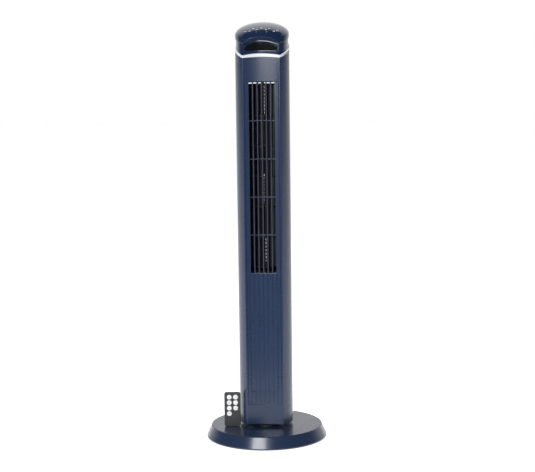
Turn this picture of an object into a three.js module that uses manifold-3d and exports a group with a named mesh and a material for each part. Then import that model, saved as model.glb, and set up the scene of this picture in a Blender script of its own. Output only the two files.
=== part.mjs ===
// Tower fan: a slim column that swings on a round base and blows air through a tall front grille.
// Millimetres, +Z up, the front faces -Y, and the origin is on the floor under the centre of the base.

import * as THREE from 'three';
import { mergeVertices } from 'three/addons/utils/BufferGeometryUtils.js';
import Module from 'manifold-3d';

const wasm = await Module();
wasm.setup();

// ---------- Driving dimensions ----------

const overallHeight = 1016; // floor to the crest of the cap
const gap = 0.3; // clearance between neighbouring pieces
const wall = 2.4; // moulded wall of the shells
const overlap = 1; // how far a shape reaches into one that it is joined to or cuts through

// Base
const baseRadius = 148; // bottom edge
const baseTopRadius = 137.5; // rim of the flat top
const baseTop = 31.5; // height of the flat top
const rimRound = 2; // rounding of the top rim
const baseEdgeHeight = 3; // upright band at the bottom edge
const basePlateThickness = 2.5;
const basePlateGap = 0.755; // upper edge of the base plate to the inside of the cover
const footHeight = 2;
const footRadius = 8;
const footCount = 8;
const footEdgeGap = 2; // from a foot's outer side to the edge of the base plate
const footTurn = 0.7; // bearing of the first foot, as a share of their spacing
const swivelGap = 7.5; // open height between the base and the column

// Column: a round section whose front is a dished panel between two sharp creases
const towerRadius = 65;
const creaseAngle = THREE.MathUtils.degToRad(46.8); // creases below the X axis
const panelDip = 5; // depth of the dish
const splitY = 12; // where the front and rear shells meet
const floorThickness = 3;

// Front insert: ribs below, openings above
const plateHeight = 60.4; // plain panel between the insert and the trim ring
const insertBottom = 88;
const insertEdge = 3.5; // from a crease to the insert
const insertThickness = 3;
const insertSink = 0.3; // how far the insert lies below the panel
const openingBottom = 414.5;
const openingTopEdge = 1.4; // strip of the insert above the openings
const frameWidth = 10.3; // strip of the insert beside the openings
const columnCount = 6;
const rowCount = 5;
const slatWidth = 3.1;
const slatDepth = 5;
const barHeight = 2;
const barSink = 2.5; // how far the cross bars lie behind the slats' front
const grooveWidth = 2;
const grooveDepth = 1.2;
const grooveEndGap = 1.5; // plain strip at the lower and upper ends of the grooves

// Storage cover in the ribs, and the tray behind it
const coverHalf = 33.5;
const coverBottom = 121.5;
const coverTop = 295.7;
const trayDepth = 19;
const trayWall = 1.6;

// Rear intake grille
const intakeHalf = 47;
const intakeMargin = 10; // how far the intake reaches above the openings
const intakeRise = 6; // where it starts, above the lower edge of the openings
const intakeFrame = 7;
const louvreCount = 14;
const louvreHeight = 3;
const louvreSink = 0.4; // how far the louvres lie below the grille's face
const louvreRibHalf = 1; // half the width of the two upright ribs behind the louvres
const louvreRibDepth = 0.8;

// Air duct
const ductWall = 1.6;
const ductGap = 4; // smallest gap between the wheel and the duct
const ductMargin = 2; // how far the duct's mouth lies outside the openings
const scrollBearing = THREE.MathUtils.degToRad(165); // where the air guide starts, seen from the wheel
const tongueBearing = THREE.MathUtils.degToRad(-38); // where the cut-off wall is nearest to the wheel

// Fan wheel and its motor
const wheelGap = 5; // wheel to the back of the slats
const wheelSideGap = 22; // wheel to the inside of the round shell, taken on the tower's axis
const wheelBottomGap = 11.5; // lowest disc above the openings' lower edge
const wheelTopGap = 5.5; // highest disc below the openings' upper edge
const discCount = 7;
const discThickness = 1.6;
const discBandWidth = 12;
const bladeCount = 12;
const bladeThickness = 1.2;
const bladeChord = 9;
const bladeEdge = 0.8; // how far the blades end inside the discs' edge
const couplingWall = 5;
const couplingLength = 10;
const shaftRadius = 4;
const stubRadius = 3;
const stubLength = 9; // above the underside of the top bearing plate
const motorHeight = 48;
const motorSideGap = 2; // how much smaller the motor is than the wheel
const motorEdge = 2; // chamfer of its lower edge
const motorBoss = 6;
const motorBossRadius = 14;
const motorBore = 14; // depth of the motor's bore
const shaftSeat = 12; // depth of the shaft in it
const deckThickness = 3;
const deckDrop = 8.5; // top of the motor deck below the openings
const mountCount = 3;
const mountRadius = 6;
const mountBore = 1.6;
const mountGroove = 2; // depth of the groove that holds the deck
const mountLip = 2; // thickness of the lip above the deck
const mountEdgeGap = 3; // mount to the side of the motor
const bushRadius = 8;
const bushFlange = 3;
const bushRise = 4; // top of the bush above its plate
const bearingPlateGap = 2; // openings to the top bearing plate

// Power board: a plate with a transformer, a relay and a capacitor on it
const boardHalf = 32;
const boardHeight = 100;
const boardThickness = 1.6;
const boardRise = 40; // above the lower edge of the cover
const boardSetback = 26; // behind the wheel's axis
const mountGap = 10; // motor to deck

// Swing drive
const hubBore = 10;
const hubFlangeRadius = 34;
const hubFlangeThickness = 2.7;
const hubChamfer = 1;
const neckRadius = 25;
const neckReach = 6; // how far the neck rises inside the column
const spigotRadius = 19.7;
const washerThickness = 1.2;
const retainerThickness = 2;
const gearModule = 2;
const hubTeeth = 30;
const pinionTeeth = 10;
const gearThickness = 6;
const gearSlack = 0.3; // extra centre distance
const gearBacklash = 0.35; // taken off each tooth at the pitch circle
const pressureAngle = THREE.MathUtils.degToRad(25);
const swingMotorHeight = 18;
const swingMotorSideGap = 2.6;
const swingMotorLift = 5.5; // motor above the gears
const swingMotorEar = { half: 5, thickness: 1.5, reach: 4 };
const pinionShaftRadius = 3;
const pinionShaftGrip = 8; // length of the pinion's shaft in the motor
const postRadius = 3.5; // posts that carry the motor's ears
const postGap = 5; // motor's side to a post's axis
const addendum = 0.8; // tooth tip above the pitch circle, in modules

// Cord gland in the rear shell
const glandRadius = 7;
const glandWall = 2.5;
const glandDepth = 3; // inside the shell, and outside it
const glandFlange = 2;
const glandRise = 22; // above the swing motor

// Trim ring and head
const headHeight = 63.8; // crest down to the ring's lower face, taken on the tower's axis
const ringHeight = 5.6;
const ringArch = 2.4; // extra height of the ring at the middle of the panel
const ringSlope = 0.46; // the ring climbs towards the rear
const ringWidth = 4;
const headInset = 2;
const capSlope = 0.3; // the cap climbs towards the rear
const capBand = 7; // height of the cap's rim
const domeRise = 22.8;
const capTuck = 1.4; // how far the lower edge of the cap turns in
const archHeight = 31.6; // top of the display recess above the ring's lower face at the crease
const archFall = 0.007; // how fast the arch falls to each side
const hoodSlope = 0.58; // the hood's underside climbs towards the front
const windowHalf = 37.7;
const windowSill = 9.6; // bezel left below the window
const windowTopEdge = 3.5; // bezel left above the window
const windowShoulder = 2.5; // how much lower the window's upper corners are
const lensThickness = 1.6;
const lensSink = 0.8; // how far the lens lies below the bezel
const displayBoard = { half: 30, height: 20, setback: 1.5, drop: 3 };
const recessMargin = 1.5; // how far the display recess is cut past the creases

// Keys on the cap
const keyCount = 5;
const keyRadius = 6;
const keyPitch = 19;
const keyRowY = -12; // the middle key
const keyRowBend = 8; // how much nearer the front the end keys are
const keyBoardRise = 6; // control board above the cap's lower rim
const keyBoardHalf = 42;
const keyBoardBack = 8; // rear edge of the control board
const switchRadius = 2.5;
const switchHeight = 4;
const keyRest = 1.3; // free height under a key
const keyReach = 60; // longer than any key or key hole

// Remote control standing on the base
const remoteWidth = 40;
const remoteLength = 86;
const remoteThickness = 7;
const remoteCorner = 4;
const remoteTowerGap = 4.3; // remote to the swinging column
const remoteTurn = THREE.MathUtils.degToRad(3.7);
const remoteBearing = THREE.MathUtils.degToRad(204.1); // direction from the axis
const remoteKeyRadius = 5.85;
const remoteKeyPitchX = 15.5;
const remoteKeyPitchZ = 13.7;
const remoteKeyTop = 12.2; // first row below the remote's top
const remoteKeyRows = { left: 4, right: 3 };
const remoteKeyDepth = 3;
const remoteKeyProud = 1;
const remoteKeyRest = 1; // free height under a button
const remoteBack = 1; // wall behind the battery tray
const batteryTray = { half: 11, height: 26, thickness: 3.4 };
const emitterWindow = { half: 5, depth: 1.6, height: 3 };

// ---------- Worked-out sizes ----------

const creaseHalf = towerRadius * Math.cos(creaseAngle);
const creaseY = -towerRadius * Math.sin(creaseAngle);
const dishRadius = (creaseHalf ** 2 + panelDip ** 2) / (2 * panelDip);
const dishCentreY = creaseY + panelDip - dishRadius;
const towerBottom = baseTop + swivelGap;
const ringBase = overallHeight - headHeight;
const insertTop = ringBase + ringSlope * creaseY - plateHeight + panelDip;
const insertHalf = creaseHalf - insertEdge;
const openingTop = insertTop - openingTopEdge;
const openingHalf = insertHalf - frameWidth;
const slatPitch = (2 * openingHalf + slatWidth) / columnCount;
const rowPitch = (openingTop - openingBottom) / rowCount;
const coreInset = insertSink + insertThickness + 2 * gap; // inner pieces stay inside this
const wheelRadius = towerRadius - wall - wheelSideGap;
const wheelY = creaseY + panelDip + insertSink + slatDepth + wheelGap + wheelRadius;
const wheelBottom = openingBottom + wheelBottomGap;
const wheelTop = openingTop - wheelTopGap;
const discPitch = (wheelTop - discThickness - wheelBottom) / (discCount - 1);
const deckTop = openingBottom - deckDrop;
const deckBottom = deckTop - deckThickness;
const motorTop = deckBottom - mountGap;
const motorRadius = wheelRadius - motorSideGap;
const bearingPlateBottom = openingTop + bearingPlateGap;
const capBase = overallHeight - Math.hypot(capSlope * towerRadius, domeRise) - capBand;
const archCentre = ringBase + ringSlope * creaseY + archHeight + panelDip * 2;
const headInner = headInset + wall;
const capTilt = -Math.atan(capSlope);
const neckTop = towerBottom + neckReach;
const floorBottom = neckTop + washerThickness + 2 * gap;
const gearBottom = floorBottom + floorThickness + 2 * gap;
const gearDistance = (gearModule * (hubTeeth + pinionTeeth)) / 2 + gearSlack;
const swingMotorRadius = towerRadius - wall - swingMotorSideGap - gearDistance;
const swingMotorBottom = gearBottom + gearThickness + swingMotorLift;
const postX = swingMotorRadius + postGap;
const glandZ = swingMotorBottom + swingMotorHeight + glandRise;
const intakeBottom = openingBottom + intakeRise;
const intakeTop = openingTop + intakeMargin;
const keyPlaces = Array.from({ length: keyCount }, (_, i) => {
  const step = i - (keyCount - 1) / 2;
  const bend = (2 * step) / (keyCount - 1);
  return new THREE.Vector2(step * keyPitch, keyRowY - keyRowBend * bend ** 2);
});

// ---------- Materials ----------

const finish = (color, roughness, metalness = 0) => () =>
  new THREE.MeshStandardMaterial({ color, roughness, metalness });
const navyPlastic = finish(0x2f3f60, 0.38);
const navyGloss = finish(0x1a2b49, 0.12);
const blackPlastic = finish(0x15181c, 0.5);
const smokedPlastic = finish(0x0d1216, 0.08);
const silverTrim = finish(0xe9edf1, 0.25);
const steel = finish(0xb4b7ba, 0.35, 0.9);
const rubber = finish(0x1b1b1c, 0.85);
const acetal = finish(0xe8e6dc, 0.45);
const boardGreen = finish(0x1f5a3c, 0.55);
const charcoalPlastic = finish(0x3f4246, 0.55);
const whitePlastic = finish(0xf7f7f5, 0.4);

// ---------- Building helpers ----------

// Shares the vertices of a closed geometry, drops its empty triangles and turns its faces out.
function weld(geometry) {
  const bare = geometry.index ? geometry.toNonIndexed() : geometry.clone();
  bare.deleteAttribute('normal');
  bare.deleteAttribute('uv');
  const merged = mergeVertices(bare, 1e-4);
  const position = merged.attributes.position;
  const corner = [0, 1, 2].map(() => new THREE.Vector3());
  const triangles = [];
  let volume = 0;
  for (let i = 0; i < merged.index.count; i += 3) {
    const [a, b, c] = [0, 1, 2].map((k) => merged.index.getX(i + k));
    if (a === b || b === c || c === a) continue;
    triangles.push([a, b, c]);
    [a, b, c].forEach((vertex, k) => corner[k].fromBufferAttribute(position, vertex));
    volume += corner[0].dot(corner[1].clone().cross(corner[2]));
  }
  const turned = volume < 0 ? triangles.map(([a, b, c]) => [a, c, b]) : triangles;
  merged.setIndex(turned.flat());
  return merged;
}

function solid(geometry) {
  const welded = weld(geometry);
  return new wasm.Manifold(new wasm.Mesh({
    numProp: 3,
    vertProperties: new Float32Array(welded.attributes.position.array),
    triVerts: new Uint32Array(welded.index.array),
  }));
}

function geometryOf(manifold) {
  const mesh = manifold.getMesh();
  const geometry = new THREE.BufferGeometry();
  geometry.setAttribute('position', new THREE.BufferAttribute(new Float32Array(mesh.vertProperties), 3));
  geometry.setIndex(new THREE.BufferAttribute(new Uint32Array(mesh.triVerts), 1));
  return geometry;
}

const cut = (body, ...tools) => tools.reduce((left, tool) => left.subtract(solid(tool)), body);
const join = (body, ...others) => others.reduce((sum, other) => sum.add(solid(other)), body);

function box(x0, x1, y0, y1, z0, z1) {
  const geometry = new THREE.BoxGeometry(x1 - x0, y1 - y0, z1 - z0);
  return geometry.translate((x0 + x1) / 2, (y0 + y1) / 2, (z0 + z1) / 2);
}

// A flat outline in plan, raised from z0 to z1.
function prism(points, z0, z1) {
  const shape = new THREE.Shape(points);
  const geometry = new THREE.ExtrudeGeometry(shape, { depth: z1 - z0, bevelEnabled: false });
  return geometry.translate(0, 0, z0);
}

// Moves the lower and upper ends of a prism onto two surfaces.
function fitEnds(geometry, under, over) {
  geometry.computeBoundingBox();
  const middle = (geometry.boundingBox.min.z + geometry.boundingBox.max.z) / 2;
  const position = geometry.attributes.position;
  for (let i = 0; i < position.count; i++) {
    const [x, y] = [position.getX(i), position.getY(i)];
    position.setZ(i, position.getZ(i) < middle ? under(x, y) : over(x, y));
  }
  return geometry;
}

// A profile of [radius, z] pairs turned about the Z axis.
function turned(profile, segments = 32) {
  const points = profile.map(([radius, z]) => new THREE.Vector2(radius, z));
  return new THREE.LatheGeometry(points, segments).rotateX(Math.PI / 2);
}

function rod(radius, z0, z1, segments = 16) {
  return turned([[0, z0], [radius, z0], [radius, z1], [0, z1]], segments);
}

function ringOf(inner, outer, z0, z1, segments = 32) {
  return turned([[inner, z0], [outer, z0], [outer, z1], [inner, z1], [inner, z0]], segments);
}

function roundedOutline(width, height, radius, steps = 4) {
  const points = [];
  for (let corner = 0; corner < 4; corner++) {
    const sideX = corner === 0 || corner === 3 ? 1 : -1;
    const sideY = corner < 2 ? 1 : -1;
    for (let i = 0; i <= steps; i++) {
      const angle = (corner + i / steps) * (Math.PI / 2);
      points.push(new THREE.Vector2(
        sideX * (width / 2 - radius) + radius * Math.cos(angle),
        sideY * (height / 2 - radius) + radius * Math.sin(angle),
      ));
    }
  }
  return points;
}

const fan = new THREE.Group();

function add(parent, name, shape, material) {
  const geometry = shape instanceof THREE.BufferGeometry ? weld(shape) : geometryOf(shape);
  geometry.computeVertexNormals();
  const mesh = new THREE.Mesh(geometry, material());
  mesh.name = name;
  parent.add(mesh);
  return mesh;
}

// ---------- The column's section ----------

function roundPoints(inset, from, to, steps) {
  const points = [];
  for (let i = 0; i <= steps; i++) {
    const angle = from + ((to - from) * i) / steps;
    const radius = towerRadius - inset;
    points.push(new THREE.Vector2(radius * Math.cos(angle), radius * Math.sin(angle)));
  }
  return points;
}

const panelY = (x, inset) => dishCentreY + Math.sqrt((dishRadius + inset) ** 2 - x ** 2);

function panelPoints(inset, fromX, toX, steps = 10) {
  const points = [];
  for (let i = 0; i <= steps; i++) {
    const x = fromX + ((toX - fromX) * i) / steps;
    points.push(new THREE.Vector2(x, panelY(x, inset)));
  }
  return points;
}

// The crease on the right, where the round wall and the panel meet at a given inset.
function crease(inset) {
  const radius = towerRadius - inset;
  const y = (dishCentreY ** 2 + radius ** 2 - (dishRadius + inset) ** 2) / (2 * dishCentreY);
  return new THREE.Vector2(Math.sqrt(radius ** 2 - y ** 2), y);
}

function creaseBearing(inset) {
  const corner = crease(inset);
  return Math.atan2(corner.y, corner.x);
}

function wholeSection(inset, steps = 36) {
  const bearing = creaseBearing(inset);
  const corner = crease(inset);
  const round = roundPoints(inset, bearing, Math.PI - bearing, steps);
  return [...round, ...panelPoints(inset, -corner.x, corner.x).slice(1, -1)];
}

// The wall in front of a plane at y, as one open channel.
function frontChannel(outer, inner, y) {
  const side = (inset) => {
    const edge = Math.asin(y / (towerRadius - inset));
    const corner = crease(inset);
    const right = roundPoints(inset, edge, creaseBearing(inset), 12);
    const left = right.map((point) => new THREE.Vector2(-point.x, point.y)).reverse();
    return [...right, ...panelPoints(inset, corner.x, -corner.x).slice(1, -1), ...left];
  };
  return [...side(outer), ...side(inner).reverse()];
}

function roundChannel(outer, inner, startAt, steps) {
  const side = (inset) => roundPoints(inset, startAt(inset), Math.PI - startAt(inset), steps);
  return [...side(outer), ...side(inner).reverse()];
}

// A strip of the panel between two insets, reaching half a width to each side.
const panelStrip = (outer, inner, half, steps = 10) => [
  ...panelPoints(outer, -half, half, steps),
  ...panelPoints(inner, half, -half, steps),
];

function rearStrip(outer, inner, half, steps) {
  return roundChannel(outer, inner, (inset) => Math.acos(half / (towerRadius - inset)), steps);
}

// ---------- Sloping surfaces of the head ----------

const ringUnder = (x, y) => ringBase + ringSlope * y;
function ringOver(x, y) {
  const onPanel = y < 0 ? Math.max(0, 1 - (x / creaseHalf) ** 2) : 0;
  return ringUnder(x, y) + ringHeight + ringArch * onPanel;
}
const capUnder = (x, y) => capBase + capSlope * y;

// ---------- Base ----------

function addBase(parent) {
  const cover = turned([
    [hubBore, baseTop - wall],
    [baseTopRadius - rimRound - wall, baseTop - wall],
    [baseRadius - wall, footHeight],
    [baseRadius, footHeight],
    [baseRadius, footHeight + baseEdgeHeight],
    [baseTopRadius, baseTop - rimRound],
    [baseTopRadius - rimRound * 0.3, baseTop - rimRound * 0.3],
    [baseTopRadius - rimRound, baseTop],
    [hubBore, baseTop],
    [hubBore, baseTop - wall],
  ], 48);
  add(parent, 'base_cover', cover, navyPlastic);
  const skirtHeight = baseTop - wall - footHeight;
  const skirtSpread = (baseRadius - baseTopRadius + rimRound) / skirtHeight;
  const skirtInside = (z) => baseRadius - wall - (z - footHeight) * skirtSpread;
  const plateRadius = skirtInside(footHeight + basePlateThickness) - basePlateGap;
  const plate = rod(plateRadius, footHeight, footHeight + basePlateThickness, 48);
  add(parent, 'base_plate', plate, blackPlastic);
  const footCircle = plateRadius - footRadius - footEdgeGap;
  for (let i = 0; i < footCount; i++) {
    const angle = ((i + footTurn) / footCount) * 2 * Math.PI;
    const foot = add(parent, `foot_${i + 1}`, rod(footRadius, 0, footHeight - gap, 12), rubber);
    foot.position.set(footCircle * Math.cos(angle), footCircle * Math.sin(angle), 0);
  }
}

// ---------- Swivel and swing drive ----------

// An involute gear outline with its first tooth on the +X axis.
function gearOutline(teeth) {
  const pitchRadius = (gearModule * teeth) / 2;
  const baseCircle = pitchRadius * Math.cos(pressureAngle);
  const tip = pitchRadius + addendum * gearModule;
  const root = pitchRadius - gearModule;
  const involute = (angle) => Math.tan(angle) - angle;
  const halfAtPitch = Math.PI / (2 * teeth) - gearBacklash / (2 * pitchRadius);
  const halfAt = (radius) => {
    const angle = Math.acos(Math.min(1, baseCircle / radius));
    return halfAtPitch + involute(pressureAngle) - involute(angle);
  };
  const flank = [root, pitchRadius, tip];
  const points = [];
  for (let tooth = 0; tooth < teeth; tooth++) {
    const centre = (tooth / teeth) * 2 * Math.PI;
    const place = (radius, angle) => points.push(
      new THREE.Vector2(radius * Math.cos(angle), radius * Math.sin(angle)),
    );
    flank.forEach((radius) => place(radius, centre - halfAt(radius)));
    [...flank].reverse().forEach((radius) => place(radius, centre + halfAt(radius)));
  }
  return points;
}

function addSwivel(parent) {
  const flangeTop = baseTop + gap + hubFlangeThickness;
  const spigotTop = gearBottom + gearThickness;
  const hub = turned([
    [hubBore, baseTop + gap],
    [hubFlangeRadius, baseTop + gap],
    [hubFlangeRadius, flangeTop],
    [neckRadius, flangeTop + hubChamfer],
    [neckRadius, neckTop],
    [spigotRadius, neckTop],
    [spigotRadius, spigotTop],
    [hubBore, spigotTop],
    [hubBore, baseTop + gap],
  ]);
  add(parent, 'swivel_hub', hub, blackPlastic);
  const washerBottom = neckTop + gap;
  const washer = ringOf(spigotRadius + gap, neckRadius, washerBottom, washerBottom + washerThickness);
  add(parent, 'thrust_washer', washer, acetal);
  const gear = cut(
    solid(prism(gearOutline(hubTeeth), gearBottom, gearBottom + gearThickness)),
    rod(spigotRadius + gap, gearBottom - overlap, gearBottom + gearThickness + overlap, 32),
  );
  add(parent, 'hub_gear', gear, acetal);
  const capBottom = spigotTop + gap;
  const retainer = ringOf(hubBore, neckRadius, capBottom, capBottom + retainerThickness);
  add(parent, 'hub_retainer', retainer, steel);
}

function addPinion(parent) {
  const shaftTop = swingMotorBottom + pinionShaftGrip;
  const pinion = join(
    solid(prism(gearOutline(pinionTeeth), gearBottom, gearBottom + gearThickness)),
    rod(pinionShaftRadius, gearBottom + gearThickness - overlap, shaftTop),
  );
  const mesh = add(parent, 'oscillation_pinion', pinion, acetal);
  mesh.position.y = gearDistance;
  // A tooth of the one faces a gap of the other on the line between their centres.
  mesh.rotation.z = ((0.75 * pinionTeeth + 0.25 * hubTeeth - 0.5) / pinionTeeth) * 2 * Math.PI;
}

function addSwingMotor(parent) {
  const motorTopZ = swingMotorBottom + swingMotorHeight;
  const boreRadius = pinionShaftRadius + gap;
  const boreTop = swingMotorBottom + pinionShaftGrip + 1;
  const { half, thickness, reach } = swingMotorEar;
  const earTop = swingMotorBottom + thickness;
  const [earInner, earOuter] = [swingMotorRadius - overlap, postX + reach];
  const motor = join(
    solid(turned([
      [boreRadius, swingMotorBottom],
      [swingMotorRadius, swingMotorBottom],
      [swingMotorRadius, motorTopZ],
      [0, motorTopZ],
      [0, boreTop],
      [boreRadius, boreTop],
      [boreRadius, swingMotorBottom],
    ], 32)),
    box(-earOuter, -earInner, -half, half, swingMotorBottom, earTop),
    box(earInner, earOuter, -half, half, swingMotorBottom, earTop),
  );
  add(parent, 'oscillation_motor', motor, steel).position.y = gearDistance;
}

function addTowerFloor(parent) {
  const plateTop = floorBottom + floorThickness;
  const post = (x) => rod(postRadius, plateTop - overlap, swingMotorBottom - gap)
    .translate(x, gearDistance, 0);
  const floor = join(
    cut(
      solid(prism(wholeSection(wall + gap), floorBottom, plateTop)),
      rod(spigotRadius + 2 * gap, floorBottom - overlap, plateTop + overlap, 32),
    ),
    post(postX),
    post(-postX),
  );
  add(parent, 'tower_floor', floor, blackPlastic);
}

// ---------- Shells ----------

function addShells(parent) {
  const bottom = () => towerBottom;
  const top = (x, y) => ringUnder(x, y) - gap;
  const front = fitEnds(prism(frontChannel(0, wall, splitY), towerBottom, ringBase), bottom, top);
  const windowBack = panelY(0, wall) + overlap;
  const window = box(-insertHalf, insertHalf, -towerRadius, windowBack, insertBottom, insertTop);
  add(parent, 'front_shell', cut(solid(front), window), navyPlastic);

  const seam = (inset) => Math.asin((splitY + gap) / (towerRadius - inset));
  const rear = fitEnds(prism(roundChannel(0, wall, seam, 30), towerBottom, ringBase), bottom, top);
  const outside = towerRadius + overlap;
  const intake = box(-intakeHalf, intakeHalf, splitY, outside, intakeBottom, intakeTop);
  const cordHole = rod(glandRadius, 0, outside).rotateX(-Math.PI / 2).translate(0, 0, glandZ);
  add(parent, 'rear_shell', cut(solid(rear), intake, cordHole), navyPlastic);

  const bore = glandRadius - glandWall;
  const seat = wall + 2 * gap;
  const gland = turned([
    [bore, -glandDepth],
    [glandRadius - gap, -glandDepth],
    [glandRadius - gap, seat],
    [glandRadius + glandFlange, seat],
    [glandRadius + glandFlange / 2, wall + glandDepth],
    [bore, wall + glandDepth],
    [bore, -glandDepth],
  ], 16).rotateX(-Math.PI / 2);
  add(parent, 'cord_gland', gland, rubber).position.set(0, towerRadius - wall, glandZ);
}

// ---------- Front insert, cover and tray ----------

function grooves(x0, x1, z0, z1) {
  const tools = [];
  for (let i = -columnCount / 2; i <= columnCount / 2; i++) {
    const x = i * slatPitch;
    if (x < x0 || x > x1) continue;
    const y = panelY(x, insertSink);
    tools.push(box(x - grooveWidth / 2, x + grooveWidth / 2, y - overlap, y + grooveDepth, z0, z1));
  }
  return tools;
}

function addFrontInsert(parent) {
  const back = insertSink + insertThickness;
  const front = insertSink;
  const plate = prism(panelStrip(front, back, insertHalf - gap), insertBottom + gap, insertTop - gap);
  let insert = cut(
    solid(plate),
    box(-openingHalf, openingHalf, -towerRadius, 0, openingBottom, openingTop),
    ...grooves(-insertHalf, insertHalf, insertBottom + gap + grooveEndGap, openingBottom - grooveEndGap),
    box(-coverHalf, coverHalf, -towerRadius, 0, coverBottom, coverTop),
  );
  for (let i = 1; i < columnCount; i++) {
    const x = -openingHalf - slatWidth / 2 + i * slatPitch;
    const y = panelY(x, front);
    const slat = box(
      x - slatWidth / 2, x + slatWidth / 2, y, y + slatDepth,
      openingBottom - overlap, openingTop + openingTopEdge - gap,
    );
    insert = join(insert, slat);
  }
  for (let i = 1; i < rowCount; i++) {
    const z = openingBottom + i * rowPitch;
    const strip = panelStrip(front + barSink, front + slatDepth, openingHalf + overlap, 6);
    insert = join(insert, prism(strip, z - barHeight / 2, z + barHeight / 2));
  }
  add(parent, 'front_grille', insert, navyPlastic);
}

function addCover(parent) {
  const plate = prism(
    panelStrip(insertSink, insertSink + insertThickness, coverHalf - gap),
    coverBottom + gap,
    coverTop - gap,
  );
  const inner = coverHalf - grooveWidth;
  const cover = cut(solid(plate), ...grooves(-inner, inner, coverBottom, coverTop));
  add(parent, 'storage_cover', cover, navyPlastic);
}

function addTray(parent) {
  const front = insertSink + insertThickness + gap;
  const backY = panelY(0, front) + trayDepth;
  const plan = (inset, half, y) => [
    ...panelPoints(inset, -half, half),
    new THREE.Vector2(half, y),
    new THREE.Vector2(-half, y),
  ];
  const outerPlan = plan(front, coverHalf + trayWall, backY);
  const outer = prism(outerPlan, coverBottom - trayWall, coverTop + trayWall);
  const inner = prism(plan(front - overlap, coverHalf, backY - trayWall), coverBottom, coverTop);
  add(parent, 'storage_tray', cut(solid(outer), inner), blackPlastic);
}

// ---------- Rear grille ----------

function addRearGrille(parent) {
  const half = intakeHalf - 2 * gap;
  const [z0, z1] = [intakeBottom + gap, intakeTop - gap];
  const hollow = box(
    -half + intakeFrame, half - intakeFrame, splitY, towerRadius + overlap,
    z0 + intakeFrame, z1 - intakeFrame,
  );
  let grille = cut(solid(prism(rearStrip(0, wall, half, 12), z0, z1)), hollow);
  const pitch = (z1 - z0 - 2 * intakeFrame) / louvreCount;
  for (let i = 1; i < louvreCount; i++) {
    const z = z0 + intakeFrame + i * pitch;
    const strip = rearStrip(louvreSink, wall - louvreSink / 2, half - intakeFrame + overlap, 6);
    const louvre = prism(strip, z, z + louvreHeight);
    grille = join(grille, louvre);
  }
  for (const x of [-half / 3, half / 3]) {
    const y = Math.sqrt((towerRadius - wall) ** 2 - x ** 2);
    grille = join(grille, box(
      x - louvreRibHalf, x + louvreRibHalf, y - louvreRibDepth, y + overlap,
      z0 + intakeFrame - overlap, z1 - intakeFrame + overlap,
    ));
  }
  add(parent, 'rear_grille', grille, navyPlastic);
}

// ---------- Air duct, wheel and motor ----------

// A wall of even thickness along a line of points.
function guidePlan(points, thickness) {
  const offset = points.map((point, i) => {
    const before = points[Math.max(0, i - 1)];
    const after = points[Math.min(points.length - 1, i + 1)];
    const along = after.clone().sub(before).normalize();
    return new THREE.Vector2(point.x - along.y * thickness, point.y + along.x * thickness);
  });
  return [...points, ...offset.reverse()];
}

function addAirDuct(parent) {
  const [z0, z1] = [deckTop + gap, bearingPlateBottom - gap];
  const outletX = openingHalf + ductMargin;
  const throat = wheelRadius + ductGap;
  const outletY = panelY(outletX, insertSink + slatDepth) + gap;
  const outletRadius = Math.hypot(outletX, outletY - wheelY);
  const outletBearing = Math.atan2(outletY - wheelY, -outletX) + 2 * Math.PI;
  const scroll = [];
  const steps = 12;
  for (let i = 0; i <= steps; i++) {
    const bearing = scrollBearing + ((outletBearing - scrollBearing) * i) / steps;
    const radius = throat + ((outletRadius - throat) * i) / steps;
    scroll.push(new THREE.Vector2(radius * Math.cos(bearing), wheelY + radius * Math.sin(bearing)));
  }
  add(parent, 'air_guide', prism(guidePlan(scroll, -ductWall), z0, z1), blackPlastic);

  const tongue = new THREE.CatmullRomCurve3([
    new THREE.Vector3(outletX, outletY, 0),
    new THREE.Vector3(throat * Math.cos(tongueBearing), wheelY + throat * Math.sin(tongueBearing), 0),
    new THREE.Vector3(throat + ductWall, wheelY - ductGap, 0),
    new THREE.Vector3(throat + 2 * ductWall, wheelY + ductGap, 0),
  ]).getPoints(10).map((point) => new THREE.Vector2(point.x, point.y));
  add(parent, 'cutoff_wall', prism(guidePlan(tongue, -ductWall), z0, z1), blackPlastic);
}

function addWheel(parent) {
  let wheel = solid(rod(wheelRadius, wheelBottom, wheelBottom + discThickness, 24));
  for (let i = 1; i < discCount - 1; i++) {
    const z = wheelBottom + i * discPitch;
    wheel = join(wheel, ringOf(wheelRadius - discBandWidth, wheelRadius, z, z + discThickness, 24));
  }
  const topDisc = wheelBottom + (discCount - 1) * discPitch;
  wheel = join(wheel, rod(wheelRadius, topDisc, topDisc + discThickness, 24));
  wheel = join(wheel, rod(stubRadius, topDisc + discThickness - overlap, bearingPlateBottom + stubLength));
  const coupling = cut(
    solid(rod(shaftRadius + couplingWall, wheelBottom - couplingLength, wheelBottom + discThickness / 2)),
    rod(shaftRadius + gap, wheelBottom - couplingLength - overlap, wheelBottom - overlap),
  );
  wheel = wheel.add(coupling);
  const outer = wheelRadius - bladeEdge;
  for (let i = 0; i < bladeCount; i++) {
    const blade = box(
      outer - bladeChord, outer, -bladeThickness / 2, bladeThickness / 2,
      wheelBottom + discThickness / 2, topDisc + discThickness / 2,
    );
    wheel = join(wheel, blade.rotateZ(((i + 0.5) / bladeCount) * 2 * Math.PI));
  }
  add(parent, 'fan_wheel', wheel, blackPlastic).position.y = wheelY;
  const shaft = rod(shaftRadius, motorTop - shaftSeat, wheelBottom - overlap - gap);
  add(parent, 'motor_shaft', shaft, steel).position.y = wheelY;
}

function mountPlaces() {
  const circle = motorRadius - mountRadius - mountEdgeGap;
  return Array.from({ length: mountCount }, (_, i) => {
    const angle = ((i + 0.25) / mountCount) * 2 * Math.PI;
    return new THREE.Vector2(circle * Math.cos(angle), wheelY + circle * Math.sin(angle));
  });
}

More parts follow.
